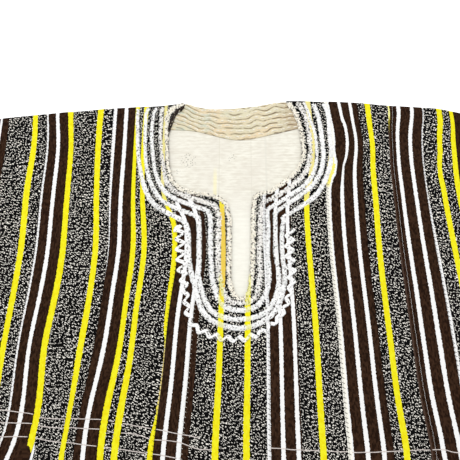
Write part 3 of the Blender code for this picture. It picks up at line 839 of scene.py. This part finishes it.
def plain_weave(tree, across, down, warp, weft):
    """Relief of a plain weave, whose warp rises over every other weft."""
    number = times(tree, across, 1.0 / warp)
    yarn = calc(tree, "FLOOR", number)
    crown = calc(tree, "SINE", times(tree, calc(tree, "SUBTRACT", number, yarn), pi))
    turn = calc(tree, "MULTIPLY_ADD", down, 2.0 * pi / weft, times(tree, yarn, pi))
    float_up = calc(tree, "MULTIPLY_ADD", calc(tree, "SINE", turn), 0.5, 0.5)
    return times(tree, crown, calc(tree, "MULTIPLY_ADD", float_up, FLOAT_SHARE, 1.0 - FLOAT_SHARE))


def dress(tree, shader, colour, relief, depth):
    """Give a shader its colour, and a relief of a depth in metres that shows in the light."""
    tree.links.new(colour, shader.inputs["Base Color"])
    bump = add(tree, "Bump", None, {"Height": relief, "Distance": depth, "Strength": BUMP_STRENGTH})
    tree.links.new(bump.outputs[0], shader.inputs["Normal"])


def specks(tree, across, down, left):
    """Where the pale yarn of a mottled stripe lies on top, in short leaning dashes."""
    wander = grain(tree, across, down, 0.0030, 0.0034, 1.0, left * 50.0)
    wandering = calc(tree, "MULTIPLY_ADD", wander, SPECK_WANDER, across)
    leaning = calc(tree, "MULTIPLY_ADD", down, -SPECK_LEAN, wandering)
    size = calc(tree, "MULTIPLY_ADD", down, -SPECK_SHRINK, 1.0)
    along = calc(tree, "LOGARITHM", size, EULER)
    place = add(tree, "CombineXYZ", None, {
        0: calc(tree, "DIVIDE", times(tree, leaning, 1.0 / SPECK_ACROSS), size),
        1: calc(tree, "MULTIPLY_ADD", along, -1.0 / (SPECK_SHRINK * SPECK_DOWN), left * 300.0),
    })
    settings = {"voronoi_dimensions": "2D", "feature": "F1"}
    inputs = {"Vector": place.outputs[0], "Scale": 1.0, "Randomness": SPECK_RANDOM}
    speck = add(tree, "TexVoronoi", settings, inputs)
    patch = grain(tree, across, down, 0.018, 0.030, 2.0, left * 70.0)
    distance = calc(tree, "MULTIPLY_ADD", patch, SPECK_PATCHES, speck.outputs["Distance"])
    return ramp(tree, distance, SPECK_DARK_FROM, SPECK_PALE_TO)


def stripe_marks(tree, across, waver, left, bands):
    """The bands of a strip in the codes of their yarns, with edges that waver."""
    width = bands[-1][1] - left
    edge_shift = calc(tree, "MULTIPLY_ADD", waver, STRIPE_WAVER, -STRIPE_WAVER / 2.0 - left)
    share = times(tree, calc(tree, "ADD", across, edge_shift), 1.0 / width)
    stripes = add(tree, "ValToRGB", None, {0: share})
    colours = stripes.color_ramp
    colours.interpolation = "CONSTANT"
    colours.elements.remove(colours.elements[1])
    start = 0.0
    for yarn_name, end in bands:
        stop = colours.elements.new(start) if start else colours.elements[0]
        stop.color = YARN_CODES[yarn_name]
        start = (end - left) / width
    return add(tree, "SeparateColor", None, {0: stripes.outputs[0]}).outputs


def striped_cloth(name, left, bands):
    """Warp-striped strip cloth, whose bands run on from its left edge."""
    material, tree, shader, across, down = cloth_material(name, 0.88)
    relief = plain_weave(tree, across, down, YARN_WIDTH, WEFT_WIDTH)
    waver = grain(tree, across, down, 0.006, 0.0024, 2.0, left * 90.0)
    is_yellow, is_white, is_brown = stripe_marks(tree, across, waver, left, bands)
    mottled = mix(tree, specks(tree, across, down, left), BLACK_YARN, PALE_YARN)
    yarn = calc(tree, "FLOOR", times(tree, across, 1.0 / YARN_WIDTH))
    fleck = ramp(tree, grain(tree, yarn, down, 0.31, 0.0060, 2.0), 0.40, 0.60)
    colour = mix(tree, is_brown, mottled, mix(tree, fleck, BROWN_YARN, BROWN_LIGHT))
    # painted shade: the white yarn darkens where the weave relief sinks
    white = mix(tree, ramp(tree, relief, 0.5, 0.05), WHITE_YARN, WHITE_SHADE)
    colour = mix(tree, is_white, colour, white)
    yellow = mix(tree, fleck, YELLOW_YARN, YELLOW_DEEP)
    for middle, height, reach_across, reach_down, tint in FADED_PLACES:
        if left < middle < bands[-1][1]:
            faded = spot(tree, across, down, middle, height, reach_across, reach_down)
            yellow = mix(tree, faded, yellow, tint)
    colour = mix(tree, is_yellow, colour, yellow)
    dress(tree, shader, colour, relief, WEAVE_DEPTH)
    return material


def lining_cloth():
    """Undyed strip cloth with visible weft lines, sewn strips, a faint yellow band, stray specks and
    painted light lower down.
    """
    material, tree, shader, across, down = cloth_material("undyed_lining_cotton", 0.92)
    relief = plain_weave(tree, across, down, *LINING_YARNS)
    beat = times(tree, grain(tree, across, down, 0.060, 0.0013, 2.0), 0.5)
    beat = calc(tree, "MULTIPLY_ADD", grain(tree, across, down, 0.012, 0.004, 2.0, 2.0), 0.5, beat)
    cloud = grain(tree, across, down, 0.050, 0.070, 3.0, 4.0)
    colour = mix(tree, ramp(tree, beat, 0.40, 0.62), LINING_LIGHT, LINING_SHADE)
    colour = mix(tree, times(tree, ramp(tree, cloud, 0.45, 0.70), 0.45), colour, LINING_CLOUD)
    # painted light: the lining is lightened lower down, against the shade of the deep slit
    colour = mix(tree, times(tree, ramp(tree, down, 0.150, 0.200), 0.6), colour, LINING_PAINTED_LIGHT)
    for middle, half, tint, weight, start in LINING_LINES:
        near = ramp(tree, away_from(tree, across, middle), half, half * 0.4)
        near = times(tree, near, ramp(tree, down, start, start + 0.02))
        colour = mix(tree, times(tree, near, weight), colour, tint)
    speck = ramp(tree, grain(tree, across, down, 0.0022, 0.0018, 0.0, 9.0), 0.70, 0.76)
    for middle, height, reach in LINING_SPECKS:
        near = times(tree, spot(tree, across, down, middle, height, reach, reach), speck)
        colour = mix(tree, times(tree, near, 0.75), colour, LINING_SPECK)
    dress(tree, shader, colour, calc(tree, "ADD", relief, times(tree, beat, 1.5)), WEAVE_DEPTH)
    return material


def facing_cloth():
    """Faded facing of the back neck, tan to pale blue-green, with painted shade in the furrows between its
    rows and at its right end.
    """
    material, tree, shader, across, down = cloth_material("faded_facing_cotton", 0.92)
    relief = plain_weave(tree, across, down, *FACING_YARNS)
    warm = ramp(tree, grain(tree, across, down, 0.045, 0.018, 2.0, 3.0), 0.40, 0.70)
    cool = ramp(tree, grain(tree, across, down, 0.016, 0.008, 2.0, 8.0), 0.50, 0.66)
    cool = times(tree, cool, ramp(tree, across, 0.010, -0.060))
    colour = mix(tree, warm, FACING_TAN, FACING_WARM)
    colour = mix(tree, times(tree, cool, 0.75), colour, FACING_COOL)
    # painted shade in the furrows between the ridges of the facing
    crest = calc(tree, "ABSOLUTE", calc(tree, "SINE", times(tree, down, pi * FACING_ROWS / FACING_UNIT)))
    broken = ramp(tree, grain(tree, across, down, 0.012, 0.006, 2.0, 5.0), 0.34, 0.54)
    furrow_shade = times(tree, ramp(tree, crest, 0.60, 0.12), broken)
    shade = mix(tree, ramp(tree, across, 0.020, 0.070), FURROW_SHADE_LEFT, FURROW_SHADE_RIGHT)
    colour = mix(tree, furrow_shade, colour, shade)
    # painted shade at the right end of the facing, near the neck edge
    colour = mix(tree, times(tree, ramp(tree, across, 0.066, 0.096), 0.55), colour, FACING_END_SHADE)
    dress(tree, shader, colour, relief, WEAVE_DEPTH)
    return material


def needle_yarn(name):
    """Soft cotton yarn, shaded in its furrows, with flecks of the cloth's other colours."""
    light, shade, flecks = NEEDLE_YARNS[name]
    material, tree, shader = new_material(name, 0.85)
    shader.inputs["Specular IOR Level"].default_value = 0.08
    place = add(tree, "TexCoord").outputs["Object"]
    sides = add(tree, "SeparateXYZ", None, {0: place})
    x = sides.outputs[0]
    y = sides.outputs[1]
    fuzz = add(tree, "TexNoise", None, {"Vector": place, "Scale": FUZZ_SCALE, "Detail": 2.0}).outputs[0]
    colour = mix(tree, ramp(tree, fuzz, 0.62, 0.38), light, shade)
    if flecks:
        tint, level = flecks
        inputs = {"Vector": place, "Scale": FLECK_SCALE, "Detail": 1.0}
        dots = add(tree, "TexNoise", None, inputs).outputs[0]
        dots = calc(tree, "MULTIPLY_ADD", ramp(tree, x, *CLEAN_YARN), CLEAN_WEIGHT, dots)
        colour = mix(tree, ramp(tree, dots, level, level + FLECK_SOFTNESS), colour, tint)
    for middle in STRIPES_UNDER_ROWS:
        near = ramp(tree, away_from(tree, x, middle), *TINT_EDGE)
        near = times(tree, near, ramp(tree, y, *TINT_BELOW))
        colour = mix(tree, times(tree, near, TINT_WEIGHT), colour, YELLOW_YARN)
    dress(tree, shader, colour, fuzz, FUZZ_DEPTH)
    return material


def link_object(name, data):
    """Put a mesh, a curve, a lamp or a camera into the scene as an object."""
    item = bpy.data.objects.new(name, data)
    bpy.context.collection.objects.link(item)
    return item


def mesh_from(name, body):
    """Turn a bmesh into a mesh."""
    mesh = bpy.data.meshes.new(name)
    body.to_mesh(mesh)
    body.free()
    return mesh


def stand_for(node):
    """Hide a node of the solids, so that a piece shows in its place."""
    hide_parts(node)


def cloth_piece(node, body, material):
    """Turn a bmesh into smooth-shaded cloth that rides with the smock in place of a node."""
    name = "cloth_" + node
    mesh = mesh_from(name, body)
    mesh.shade_smooth()
    mesh.set_sharp_from_angle(angle=SHARP_ANGLE)
    mesh.materials.append(material)
    item = link_object(name, mesh)
    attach(item, "root")
    stand_for(node)
    return item


def spread_evenly(low, high, step):
    """Places from low to high, no further apart than a step."""
    count = max(1, ceil((high - low) / step))
    return [low + (high - low) * index / count for index in range(count + 1)]


def edged_columns(left, right, step):
    """Places across a strip, close together at its selvedges so that they can be rounded."""
    from_left = [left + inset for inset in SELVEDGE_INSETS]
    to_right = [right - inset for inset in reversed(SELVEDGE_INSETS)]
    return from_left + spread_evenly(left + SELVEDGE, right - SELVEDGE, step) + to_right


def chart_cloth(body, spots):
    """Give a woven mesh its map of across and down, from the places of its vertices."""
    chart = body.loops.layers.uv.new("cloth")
    for face in body.faces:
        for loop in face.loops:
            loop[chart].uv = spots[loop.vert.index]


def thicken(body):
    """Extrude all faces of a bmesh, and give the new vertices."""
    raised = bmesh.ops.extrude_face_region(body, geom=list(body.faces))
    return [item for item in raised["geom"] if isinstance(item, bmesh.types.BMVert)]


def cloth_sheet(columns, rows, place, top, under, rounded=True):
    """Closed thin cloth. Place turns a column and a share of the rows into across, down, x and y.

    Top and under give the heights of its faces, and rounded lets the face drop at the selvedges."""
    body = bmesh.new()
    last = len(columns) - 1
    bmesh.ops.create_grid(body, x_segments=last, y_segments=rows, size=0.5)
    spots = {}
    for vertex in body.verts:
        column = round((vertex.co.x + 0.5) * last)
        row = round((0.5 - vertex.co.y) * rows)
        across, down, x, y = place(columns[column], row / rows)
        from_edge = min(column, last - column)
        drop = SELVEDGE_DROPS[from_edge] if rounded and from_edge < len(SELVEDGE_DROPS) else 0.0
        vertex.co = (x, y, top(x, y) - drop)
        spots[vertex.index] = (across, down)
    chart_cloth(body, spots)
    for vertex in thicken(body):
        vertex.co.z = under(vertex.co.x, vertex.co.y)
    bmesh.ops.recalc_face_normals(body, faces=body.faces)
    return body


def neck_cutter():
    """Prism through the front with the outline of the neck opening."""
    body = bmesh.new()
    body.faces.new([body.verts.new((x, y, CUTTER_BASE)) for x, y in round_the_neck()])
    bmesh.ops.translate(body, verts=thicken(body), vec=(0.0, 0.0, CUTTER_HEIGHT))
    bmesh.ops.recalc_face_normals(body, faces=body.faces)
    return link_object("neck_cutter", mesh_from("neck_cutter", body))


def cut_with(item, cutter):
    """Cut a piece with another shape and keep the result in its mesh."""
    cut = item.modifiers.new("neck", "BOOLEAN")
    cut.operation = "DIFFERENCE"
    cut.solver = "EXACT"
    cut.object = cutter
    graph = bpy.context.evaluated_depsgraph_get()
    shaped = item.evaluated_get(graph)
    result = bpy.data.meshes.new_from_object(shaped, preserve_all_data_layers=True, depsgraph=graph)
    item.modifiers.clear()
    item.data = result
    result.set_sharp_from_angle(angle=SHARP_ANGLE)


def gore_side(across):
    """Whether a place lies outside the left gore (-1), outside the right one (1) or between them (0)."""
    if across < GORE_LEFT:
        return -1
    if across > GORE_RIGHT:
        return 1
    return 0


def body_strip(left, right, upper, top, under, across_step, down_step):
    """A length of strip cloth between two seams, from its upper line to the hem."""
    columns = edged_columns(left + GAP / 2.0, right - GAP / 2.0, across_step)
    rows = ceil(BODY_LENGTH / down_step)
    side = gore_side((left + right) / 2.0)

    def place(across, share):
        down = upper(across) + (hem(across) - upper(across)) * share
        x, y = laid(across, down, side)
        woven = across + drift(across, down) if upper is shoulder else across
        return woven, down, x, y

    return cloth_sheet(columns, rows, place, top, under)


def make_strips(materials, cutter):
    """Front and back strips of the body."""
    for name, left, right, _ in STRIPS:
        for layer, upper, top, under, across_step, down_step in LAYERS:
            node = f"{layer}_{name}"
            body = body_strip(left, right, upper, top, under, across_step, down_step)
            item = cloth_piece(node, body, materials[name])
            if layer == "front" and name in NECK_STRIPS:
                cut_with(item, cutter)


def gore_body(seam, side, top, under):
    """A wedge let into a seam, which widens towards the hem."""
    def place(share_across, share_down):
        down = GORE_TIP + (hem(seam) - GORE_TIP) * share_down
        inner, y = laid(seam, down, 0)
        outer, y = laid(seam, down, side)
        inner += side * GAP / 2.0
        outer -= side * GAP / 2.0
        x = inner + (outer - inner) * share_across
        return abs(outer - x), down, x, y

    return cloth_sheet(GORE_COLUMNS, GORE_MESH_ROWS, place, top, under)


def make_gores():
    """Wedges that flare the hem, one in each side of front and back."""
    material = striped_cloth("strip_cotton_gore", 0.0, GORE_BANDS)
    for name, seam, side in (("left", GORE_LEFT, -1), ("right", GORE_RIGHT, 1)):
        for layer, _, top, under, _, _ in LAYERS:
            node = f"{layer}_gore_{name}"
            item = cloth_piece(node, gore_body(seam, side, top, under), material)


def loop_place(share, top_y, bottom_y):
    """Place on the outside of a flattened sleeve, from its top fold down under it and back over it."""
    height = 2.0 * CLOTH + GAP + SLEEVE_SLACK
    half = height / 2.0
    high = top_y - half
    low = bottom_y + half
    if share < SLEEVE_FLAT:
        return high + (low - high) * share / SLEEVE_FLAT, 0.0
    if share < 0.5:
        angle = pi * (share - SLEEVE_FLAT) / SLEEVE_TURN
        return low - half * sin(angle), half - half * cos(angle)
    if share < 0.5 + SLEEVE_FLAT:
        along = (share - 0.5) / SLEEVE_FLAT
        return low + (high - low) * along, height + SLEEVE_RISE * sin(pi * along)
    angle = pi * (share - 0.5 - SLEEVE_FLAT) / SLEEVE_TURN
    return high + half * sin(angle), half + half * cos(angle)


def sleeve_piece(name, inner, outer, material):
    """A woven strip of a sleeve, closed into a ring round the arm."""
    direction = 1.0 if outer > inner else -1.0
    start = inner + direction * GAP / 2.0
    end = outer - direction * GAP / 2.0
    body = bmesh.new()
    bmesh.ops.create_grid(body, x_segments=SLEEVE_MESH_COLUMNS, y_segments=SLEEVE_MESH_ROUNDS, size=0.5)
    spots = {}
    for vertex in body.verts:
        across = start + (end - start) * (vertex.co.x + 0.5)
        share = 0.5 - vertex.co.y
        beyond = abs(across) - HALF_BODY
        top_y = BODY_LENGTH / 2.0 - shoulder(across)
        depth = shoulder(direction * HALF_BODY) + SLEEVE_DEPTH + SLEEVE_FLARE * beyond
        bottom_y = BODY_LENGTH / 2.0 - depth
        y, z = loop_place(share % 1.0, top_y, bottom_y)
        vertex.co = (across, y, z)
        spots[vertex.index] = (across, share * 2.0 * (top_y - bottom_y))
    chart_cloth(body, spots)
    bmesh.ops.remove_doubles(body, verts=body.verts, dist=MERGE_DISTANCE)
    bmesh.ops.recalc_face_normals(body, faces=body.faces)
    bmesh.ops.solidify(body, geom=list(body.faces), thickness=CLOTH)
    bmesh.ops.recalc_face_normals(body, faces=body.faces)
    item = cloth_piece("sleeve_" + name, body, material)


def sleeve_bands(bands, left, direction):
    """Bands of a sleeve's strip from left to right, which run the other way in the left sleeve."""
    if direction > 0.0:
        return [(yarn, left + end) for yarn, end in bands]
    starts = [0.0] + [end for _, end in bands]
    return [(yarn, left + SLEEVE_STRIP - start) for (yarn, _), start in zip(bands, starts)][::-1]


def make_sleeves():
    """Two strips a side, from the body to the cuff."""
    for side, direction in (("left", -1.0), ("right", 1.0)):
        for part, inner in (("upper", HALF_BODY), ("cuff", HALF_BODY + SLEEVE_STRIP)):
            outer = inner + SLEEVE_STRIP
            left = inner if direction > 0.0 else -outer
            name = f"{side}_{part}"
            bands = sleeve_bands(SLEEVE_BANDS[part], left, direction)
            material = striped_cloth("strip_cotton_sleeve_" + name, left, bands)
            sleeve_piece(name, direction * inner, direction * outer, material)


def make_lining():
    """Undyed lining of the back yoke, seen through the neck opening."""
    def place(across, share):
        upper = back_top(across) + LINING_BELOW_NECK
        down = upper + (LINING_DOWN - upper) * share
        return across, down, across, BODY_LENGTH / 2.0 - down

    def top(x, y):
        return CLOTH + GAP + LINING + ripple(x, y, LINING_RIPPLE)

    columns = spread_evenly(-LINING_HALF, LINING_HALF, LINING_STEP)
    body = cloth_sheet(columns, LINING_MESH_ROWS, place, top, flat_height(CLOTH + GAP), False)
    item = cloth_piece("back_lining", body, lining_cloth())


def facing_bend(across, share):
    """How far the facing's rows run down from their share of its depth."""
    fan = FAN_SHARE * smooth((FAN_START - across) / FAN_REACH)
    return fan + WAVE_SHARE * uneven(across * WAVES_ACROSS, share * WAVES_BETWEEN_ROWS, 6.0)


def facing_place(across, share):
    """Across and a level along the bent rows for the cloth's map, then x and y."""
    upper = table_value(FACING_UPPER_EDGE, across)
    down = upper + (table_value(FACING_LOWER_EDGE, across) - upper) * share
    return across, (share + facing_bend(across, share)) * FACING_UNIT, across, BODY_LENGTH / 2.0 - down


def facing_ridge(share):
    """Height of the ridges at a share of the facing's depth."""
    return FACING_RIDGE * abs(sin(pi * share * FACING_ROWS)) ** RIDGE_ROUNDNESS


def make_facing():
    """Facing sewn round the inside of the back neck, ridged between its rows of stitches."""
    ridges = {}

    def place(across, share):
        found = facing_place(across, share)
        ridges[(round(found[2], 5), round(found[3], 5))] = facing_ridge(found[1] / FACING_UNIT)
        return found

    def top(x, y):
        return FACING_BASE + FACING - FACING_FURROW + ridges[(round(x, 5), round(y, 5))]

    columns = spread_evenly(-FACING_HALF, FACING_HALF, FACING_STEP)
    body = cloth_sheet(columns, FACING_MESH_ROWS, place, top, flat_height(FACING_BASE), False)
    item = cloth_piece("neck_facing", body, facing_cloth())


def strands(name, runs, material, smoothness=2):
    """Yarns as round tubes along runs of (x, y, z, radius)."""
    curve = bpy.data.curves.new(name, "CURVE")
    curve.dimensions = "3D"
    curve.bevel_depth = 1.0
    curve.bevel_resolution = smoothness
    curve.use_fill_caps = True
    for run in runs:
        spline = curve.splines.new("POLY")
        spline.points.add(len(run) - 1)
        for point, (x, y, z, radius) in zip(spline.points, run):
            point.co = (x, y, z, 1.0)
            point.radius = radius
    drawn = link_object(name + "_route", curve)
    graph = bpy.context.evaluated_depsgraph_get()
    mesh = bpy.data.meshes.new_from_object(drawn.evaluated_get(graph))
    bpy.data.objects.remove(drawn)
    mesh.name = name
    mesh.materials.clear()
    mesh.materials.append(material)
    mesh.shade_smooth()
    item = link_object(name, mesh)
    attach(item, "root")
    return item


def on_front(x, y, lift, radius):
    """A point of a yarn that lies on the front."""
    return x, y, front_top(x, y) + lift, radius


def keep_on_front(path):
    """The part of a plan path that lies on the front, below the shoulder line."""
    return [(x, y) for x, y in path if BODY_LENGTH / 2.0 - y > shoulder(x) + ROW_CLEARANCE]


def breadth(x, y, number):
    """Share of its full width that a row has at a place."""
    down = BODY_LENGTH / 2.0 - y
    share = 1.0
    for numbers, change, side, start, run, top, top_run, bottom, bottom_run in ROW_CHANGES:
        if number in numbers:
            beside = smooth(side * (x - start) / run)
            share += change * beside * smooth((down - top) / top_run) * smooth((bottom - down) / bottom_run)
    return share


def stitch_reach(index, place, number):
    """How far a stitch reaches to one side, as a share of half its row's width."""
    least, usual, most = STITCH_REACH
    ragged = STITCH_RAGGED - STITCH_EVENER * number
    return max(least, min(most, usual + ragged * uneven(index * 1.37, place, number * 1.7)))


def stitch_row(path, width, slant, number):
    """Close stitches laid across a plan path, uneven in length as hand stitches are."""
    path = even_path(path, STITCH_PITCH)
    runs = []
    for index in range(1, len(path) - 1):
        x, y = path[index]
        x0, y0 = path[index - 1]
        x1, y1 = path[index + 1]
        length = hypot(x1 - x0, y1 - y0)
        along_x = (x1 - x0) / length
        along_y = (y1 - y0) / length
        half = width * breadth(x, y, number) / 2.0
        reach_out = half * stitch_reach(index, 1.0, number)
        reach_in = half * stitch_reach(index, 8.0, number)
        thickness = STITCH_THICK + STITCH_THICK_CHANGE * uneven(index * 0.61, 4.0, number * 1.7)
        run = []
        for share, lift in STITCH_ARCH:
            aside = share * (reach_in if share > 0.0 else reach_out)
            lean = share * slant
            stitch_x = x - along_y * aside + along_x * lean
            stitch_y = y + along_x * aside + along_y * lean
            run.append(on_front(stitch_x, stitch_y, lift, STITCH_PITCH * thickness))
        runs.append(run)
    return runs


def row_path(number):
    """Path of a row round the neck. The first lies on the edge, with a turn at its left end."""
    if number > 1:
        return round_the_neck(number + 1)
    edge = round_the_neck(None, EDGE_ROW_OFFSET, EDGE_ROW_EXTRA)
    below = [(x, y) for x, y in edge if x > 0.0 or BODY_LENGTH / 2.0 - y > CORNER_END]
    return on_plan(smooth_rows(CORNER_TURN, 6)) + below


def make_rows(white):
    """Five corded rows that follow the neck and the slit."""
    flecked = needle_yarn("flecked_embroidery_yarn")
    edging = needle_yarn("beige_edging_yarn")
    finishes = (edging, flecked, white, white, white)
    rows = zip(ROW_WIDTHS, ROW_SLANTS, finishes)
    for number, (width, slant, finish) in enumerate(rows, start=1):
        runs = stitch_row(keep_on_front(row_path(number)), width, slant, number)
        item = strands(f"yarn_row_{number}", runs, finish, 1)
        stand_for(f"embroidery_row_{number}")


def make_zigzag(white):
    """Two strands that cross the placket to and fro."""
    base = [(x, y) for x, y in round_the_neck(7) if BODY_LENGTH / 2.0 - y > PLACKET_TOP]
    base = even_path(base, ZIGZAG_PITCH / ZIGZAG_STEPS)
    outer = beside_path(base, -ZIGZAG_SWING)
    inner = beside_path(base, ZIGZAG_SWING)
    runs = []
    for strand in (-1, 1):
        shift = STRAND_SHIFT * strand
        run = []
        for index, ((x0, y0), (x1, y1)) in enumerate(zip(outer, inner)):
            down = BODY_LENGTH / 2.0 - y0
            fuller = smooth((ZIGZAG_FULL_ABOVE - down) / ZIGZAG_EASE)
            reach = ZIGZAG_LEAST + (1.0 - ZIGZAG_LEAST) * fuller
            share = 0.5 - 0.5 * reach * cos(2.0 * pi * index / ZIGZAG_STEPS)
            x = x0 + (x1 - x0) * share + shift
            y = y0 + (y1 - y0) * share + shift
            thickness = ZIGZAG_THICK + ZIGZAG_THICK_CHANGE * sin(index * 1.3)
            run.append(on_front(x, y, ZIGZAG_LIFT, thickness))
        runs.append(run)
    item = strands("yarn_zigzag", runs, white)
    stand_for("embroidery_zigzag")


def edge_thickness(x, down):
    """Radius of the turned edge, which is thick at the left shoulder and thinner again at its top."""
    if x >= FOLD_LEFT_OF:
        return FOLD_THIN_RIGHT
    top = 1.0 - FOLD_TOP_LESS * smooth((FOLD_TOP - down) / FOLD_TOP_RUN)
    return FOLD_THIN + FOLD_THICK * smooth((FOLD_FOOT - down) / FOLD_FOOT_RUN) * top


def make_edge_fold():
    """The turned edge of the opening, folded brown cloth made near-black with painted shadow, thickest at
    the left shoulder.
    """
    path = even_path(keep_on_front(round_the_neck(None, FOLD_OFFSET)), FOLD_STEP)
    run = []
    for index, (x, y) in enumerate(path):
        change = 1.0 + FOLD_UNEVEN * uneven(index * 0.5, 0.0, 7.0)
        thick = edge_thickness(x, BODY_LENGTH / 2.0 - y) * change
        run.append((x, y, front_under(x, y) + CLOTH - FOLD_SUNK * thick, thick))
    item = strands("turned_neck_edge", [run], needle_yarn("edge_fold_with_painted_shadow"))


def seam_runs(seam):
    """Whip stitches down one seam of the front, outside the neck opening."""
    opening = round_the_neck(None, SEAM_CLEARANCE)
    side = gore_side(seam)
    runs = []
    down = shoulder(seam) + SEAM_MARGIN
    while down < hem(seam) - SEAM_MARGIN:
        x, y = laid(seam, down, side)
        if not inside_outline(x, y, opening):
            places = [(x + aside, y + along, lift) for aside, along, lift in SEAM_STITCH]
            runs.append([on_front(*stitch_place, SEAM_YARN) for stitch_place in places])
        down += SEAM_PITCH + SEAM_PITCH_CHANGE * uneven(seam * 40.0, down * 90.0, 1.0)
    return runs


def make_seam_stitches():
    """Small whip stitches that join the strips edge to edge."""
    for kind in ("pale", "dark"):
        runs = []
        for seam, is_pale in SEAM_STITCHES:
            if is_pale == (kind == "pale"):
                runs += seam_runs(seam)
        item = strands(kind + "_seam_stitches", runs, needle_yarn(kind + "_seam_thread"), 0)


def yarn_at(x, down):
    """Name of the warp yarn at a place on the laid front."""
    across = x
    for _ in range(4):
        across += x - laid(across, down, gore_side(across))[0]
    across += drift(across, down)
    for _, left, right, bands in STRIPS:
        if left <= across < right:
            return next((yarn for yarn, end in bands if across < end), bands[-1][0])
    return "mottled"


def make_running_stitches():
    """Long hand stitches that hold the hidden layer behind the front, and dip under the yellow stripes."""
    runs = []
    for table in THREAD_ROWS:
        run = []
        for x, y in even_path(on_plan(smooth_rows(table, 6)), THREAD_STEP):
            if yarn_at(x, BODY_LENGTH / 2.0 - y) != "yellow":
                wobble = THREAD_WOBBLE * uneven(x * 90.0, y * 9.0, 2.0)
                run.append(on_front(x, y + wobble, THREAD_LIFT, THREAD_THICK))
            elif len(run) > 1:
                runs.append(run)
                run = []
        if len(run) > 1:
            runs.append(run)
    item = strands("running_stitches", runs, needle_yarn("running_stitch_thread"), 1)


def facing_path(row):
    """Path of one row of stitches along the facing."""
    share = (row + 0.5) / FACING_ROWS
    path = []
    for across in spread_evenly(-HOLDING_HALF, HOLDING_HALF, FACING_STEP):
        level = share - facing_bend(across, share)
        if HOLDING_EDGE < level < 1.0 - HOLDING_EDGE:
            path.append(facing_place(across, level)[2:])
    return even_path(path, HOLDING_STEP)


def make_facing_stitches():
    """Rows of running stitches that hold the facing of the back neck."""
    height = FACING_BASE + FACING - FACING_FURROW + FACING_RIDGE
    runs = []
    for row in range(FACING_ROWS + 2):
        path = facing_path(row)
        position = 0
        while position < len(path) - HOLDING_LAST:
            length = HOLDING_LEAST + round(HOLDING_MORE * abs(uneven(position * 0.7, row * 5.0, 0.3)))
            piece = path[position:position + length]
            run = []
            for index, (x, y) in enumerate(piece):
                arch = sin(pi * index / (len(piece) - 1))
                lift = HOLDING_ARCH * arch - HOLDING_SUNK
                run.append((x, y, height + lift, HOLDING_THIN + HOLDING_THICKER * arch))
            runs.append(run)
            position += length + HOLDING_GAP
    item = strands("facing_stitches", runs, needle_yarn("facing_thread"), 1)


def make_stage():
    """White surface that the smock lies on."""
    body = bmesh.new()
    bmesh.ops.create_grid(body, x_segments=1, y_segments=1, size=FLOOR_SIZE)
    bmesh.ops.translate(body, verts=body.verts, vec=(0.0, 0.0, FLOOR_DROP))
    floor = link_object("floor", mesh_from("floor", body))
    material, _, shader = new_material("pale_floor", 0.9)
    shader.inputs["Base Color"].default_value = FLOOR_COLOUR
    shader.inputs["Emission Color"].default_value = WHITE_LIGHT
    shader.inputs["Emission Strength"].default_value = FLOOR_GLOW
    floor.data.materials.append(material)


def make_light():
    """White sky, dimmer than it looks to the camera, and one large lamp from the shoulders' side."""
    world = bpy.data.worlds.new("soft_daylight")
    world.use_nodes = True
    tree = world.node_tree
    background = tree.nodes["Background"]
    background.inputs["Color"].default_value = WHITE_LIGHT
    seen = add(tree, "LightPath").outputs["Is Camera Ray"]
    brightness = calc(tree, "MULTIPLY_ADD", seen, 1.0 - SKY_LIGHT, SKY_LIGHT)
    tree.links.new(brightness, background.inputs["Strength"])
    bpy.context.scene.world = world
    lamp = bpy.data.lights.new("window_light", "AREA")
    lamp.shape = "RECTANGLE"
    lamp.size, lamp.size_y = LAMP_SIZE
    lamp.energy = LAMP_POWER
    light = link_object("window_light", lamp)
    light.location = LAMP_PLACE
    light.rotation_euler = (Vector(LAMP_AIM) - light.location).to_track_quat("-Z", "Y").to_euler()


def make_camera():
    """View from above the chest, tilted towards the shoulders."""
    camera_data = bpy.data.cameras.new("camera")
    camera_data.lens = LENS
    camera_data.sensor_width = SENSOR
    camera_data.shift_x = PICTURE_SHIFT / PICTURE_WIDTH
    camera = link_object("camera", camera_data)
    x, y, z = VIEW_MIDDLE
    camera.location = (x, y - CAMERA_REACH * sin(CAMERA_TILT), z + CAMERA_REACH * cos(CAMERA_TILT))
    camera.rotation_euler = (CAMERA_TILT, 0.0, 0.0)
    bpy.context.scene.camera = camera
    bpy.context.scene.view_settings.view_transform = "Standard"


def main():
    """Build the floor, the pieces in the order of their layers, the light and the camera."""
    make_stage()
    materials = {}
    for name, left, _, bands in STRIPS:
        materials[name] = striped_cloth("strip_cotton_" + name, left, bands)
    cutter = neck_cutter()
    make_strips(materials, cutter)
    bpy.data.objects.remove(cutter)
    make_gores()
    make_sleeves()
    make_lining()
    make_facing()
    white = needle_yarn("white_embroidery_yarn")
    make_rows(white)
    make_zigzag(white)
    make_edge_fold()
    make_seam_stitches()
    make_running_stitches()
    make_facing_stitches()
    make_light()
    make_camera()


main()
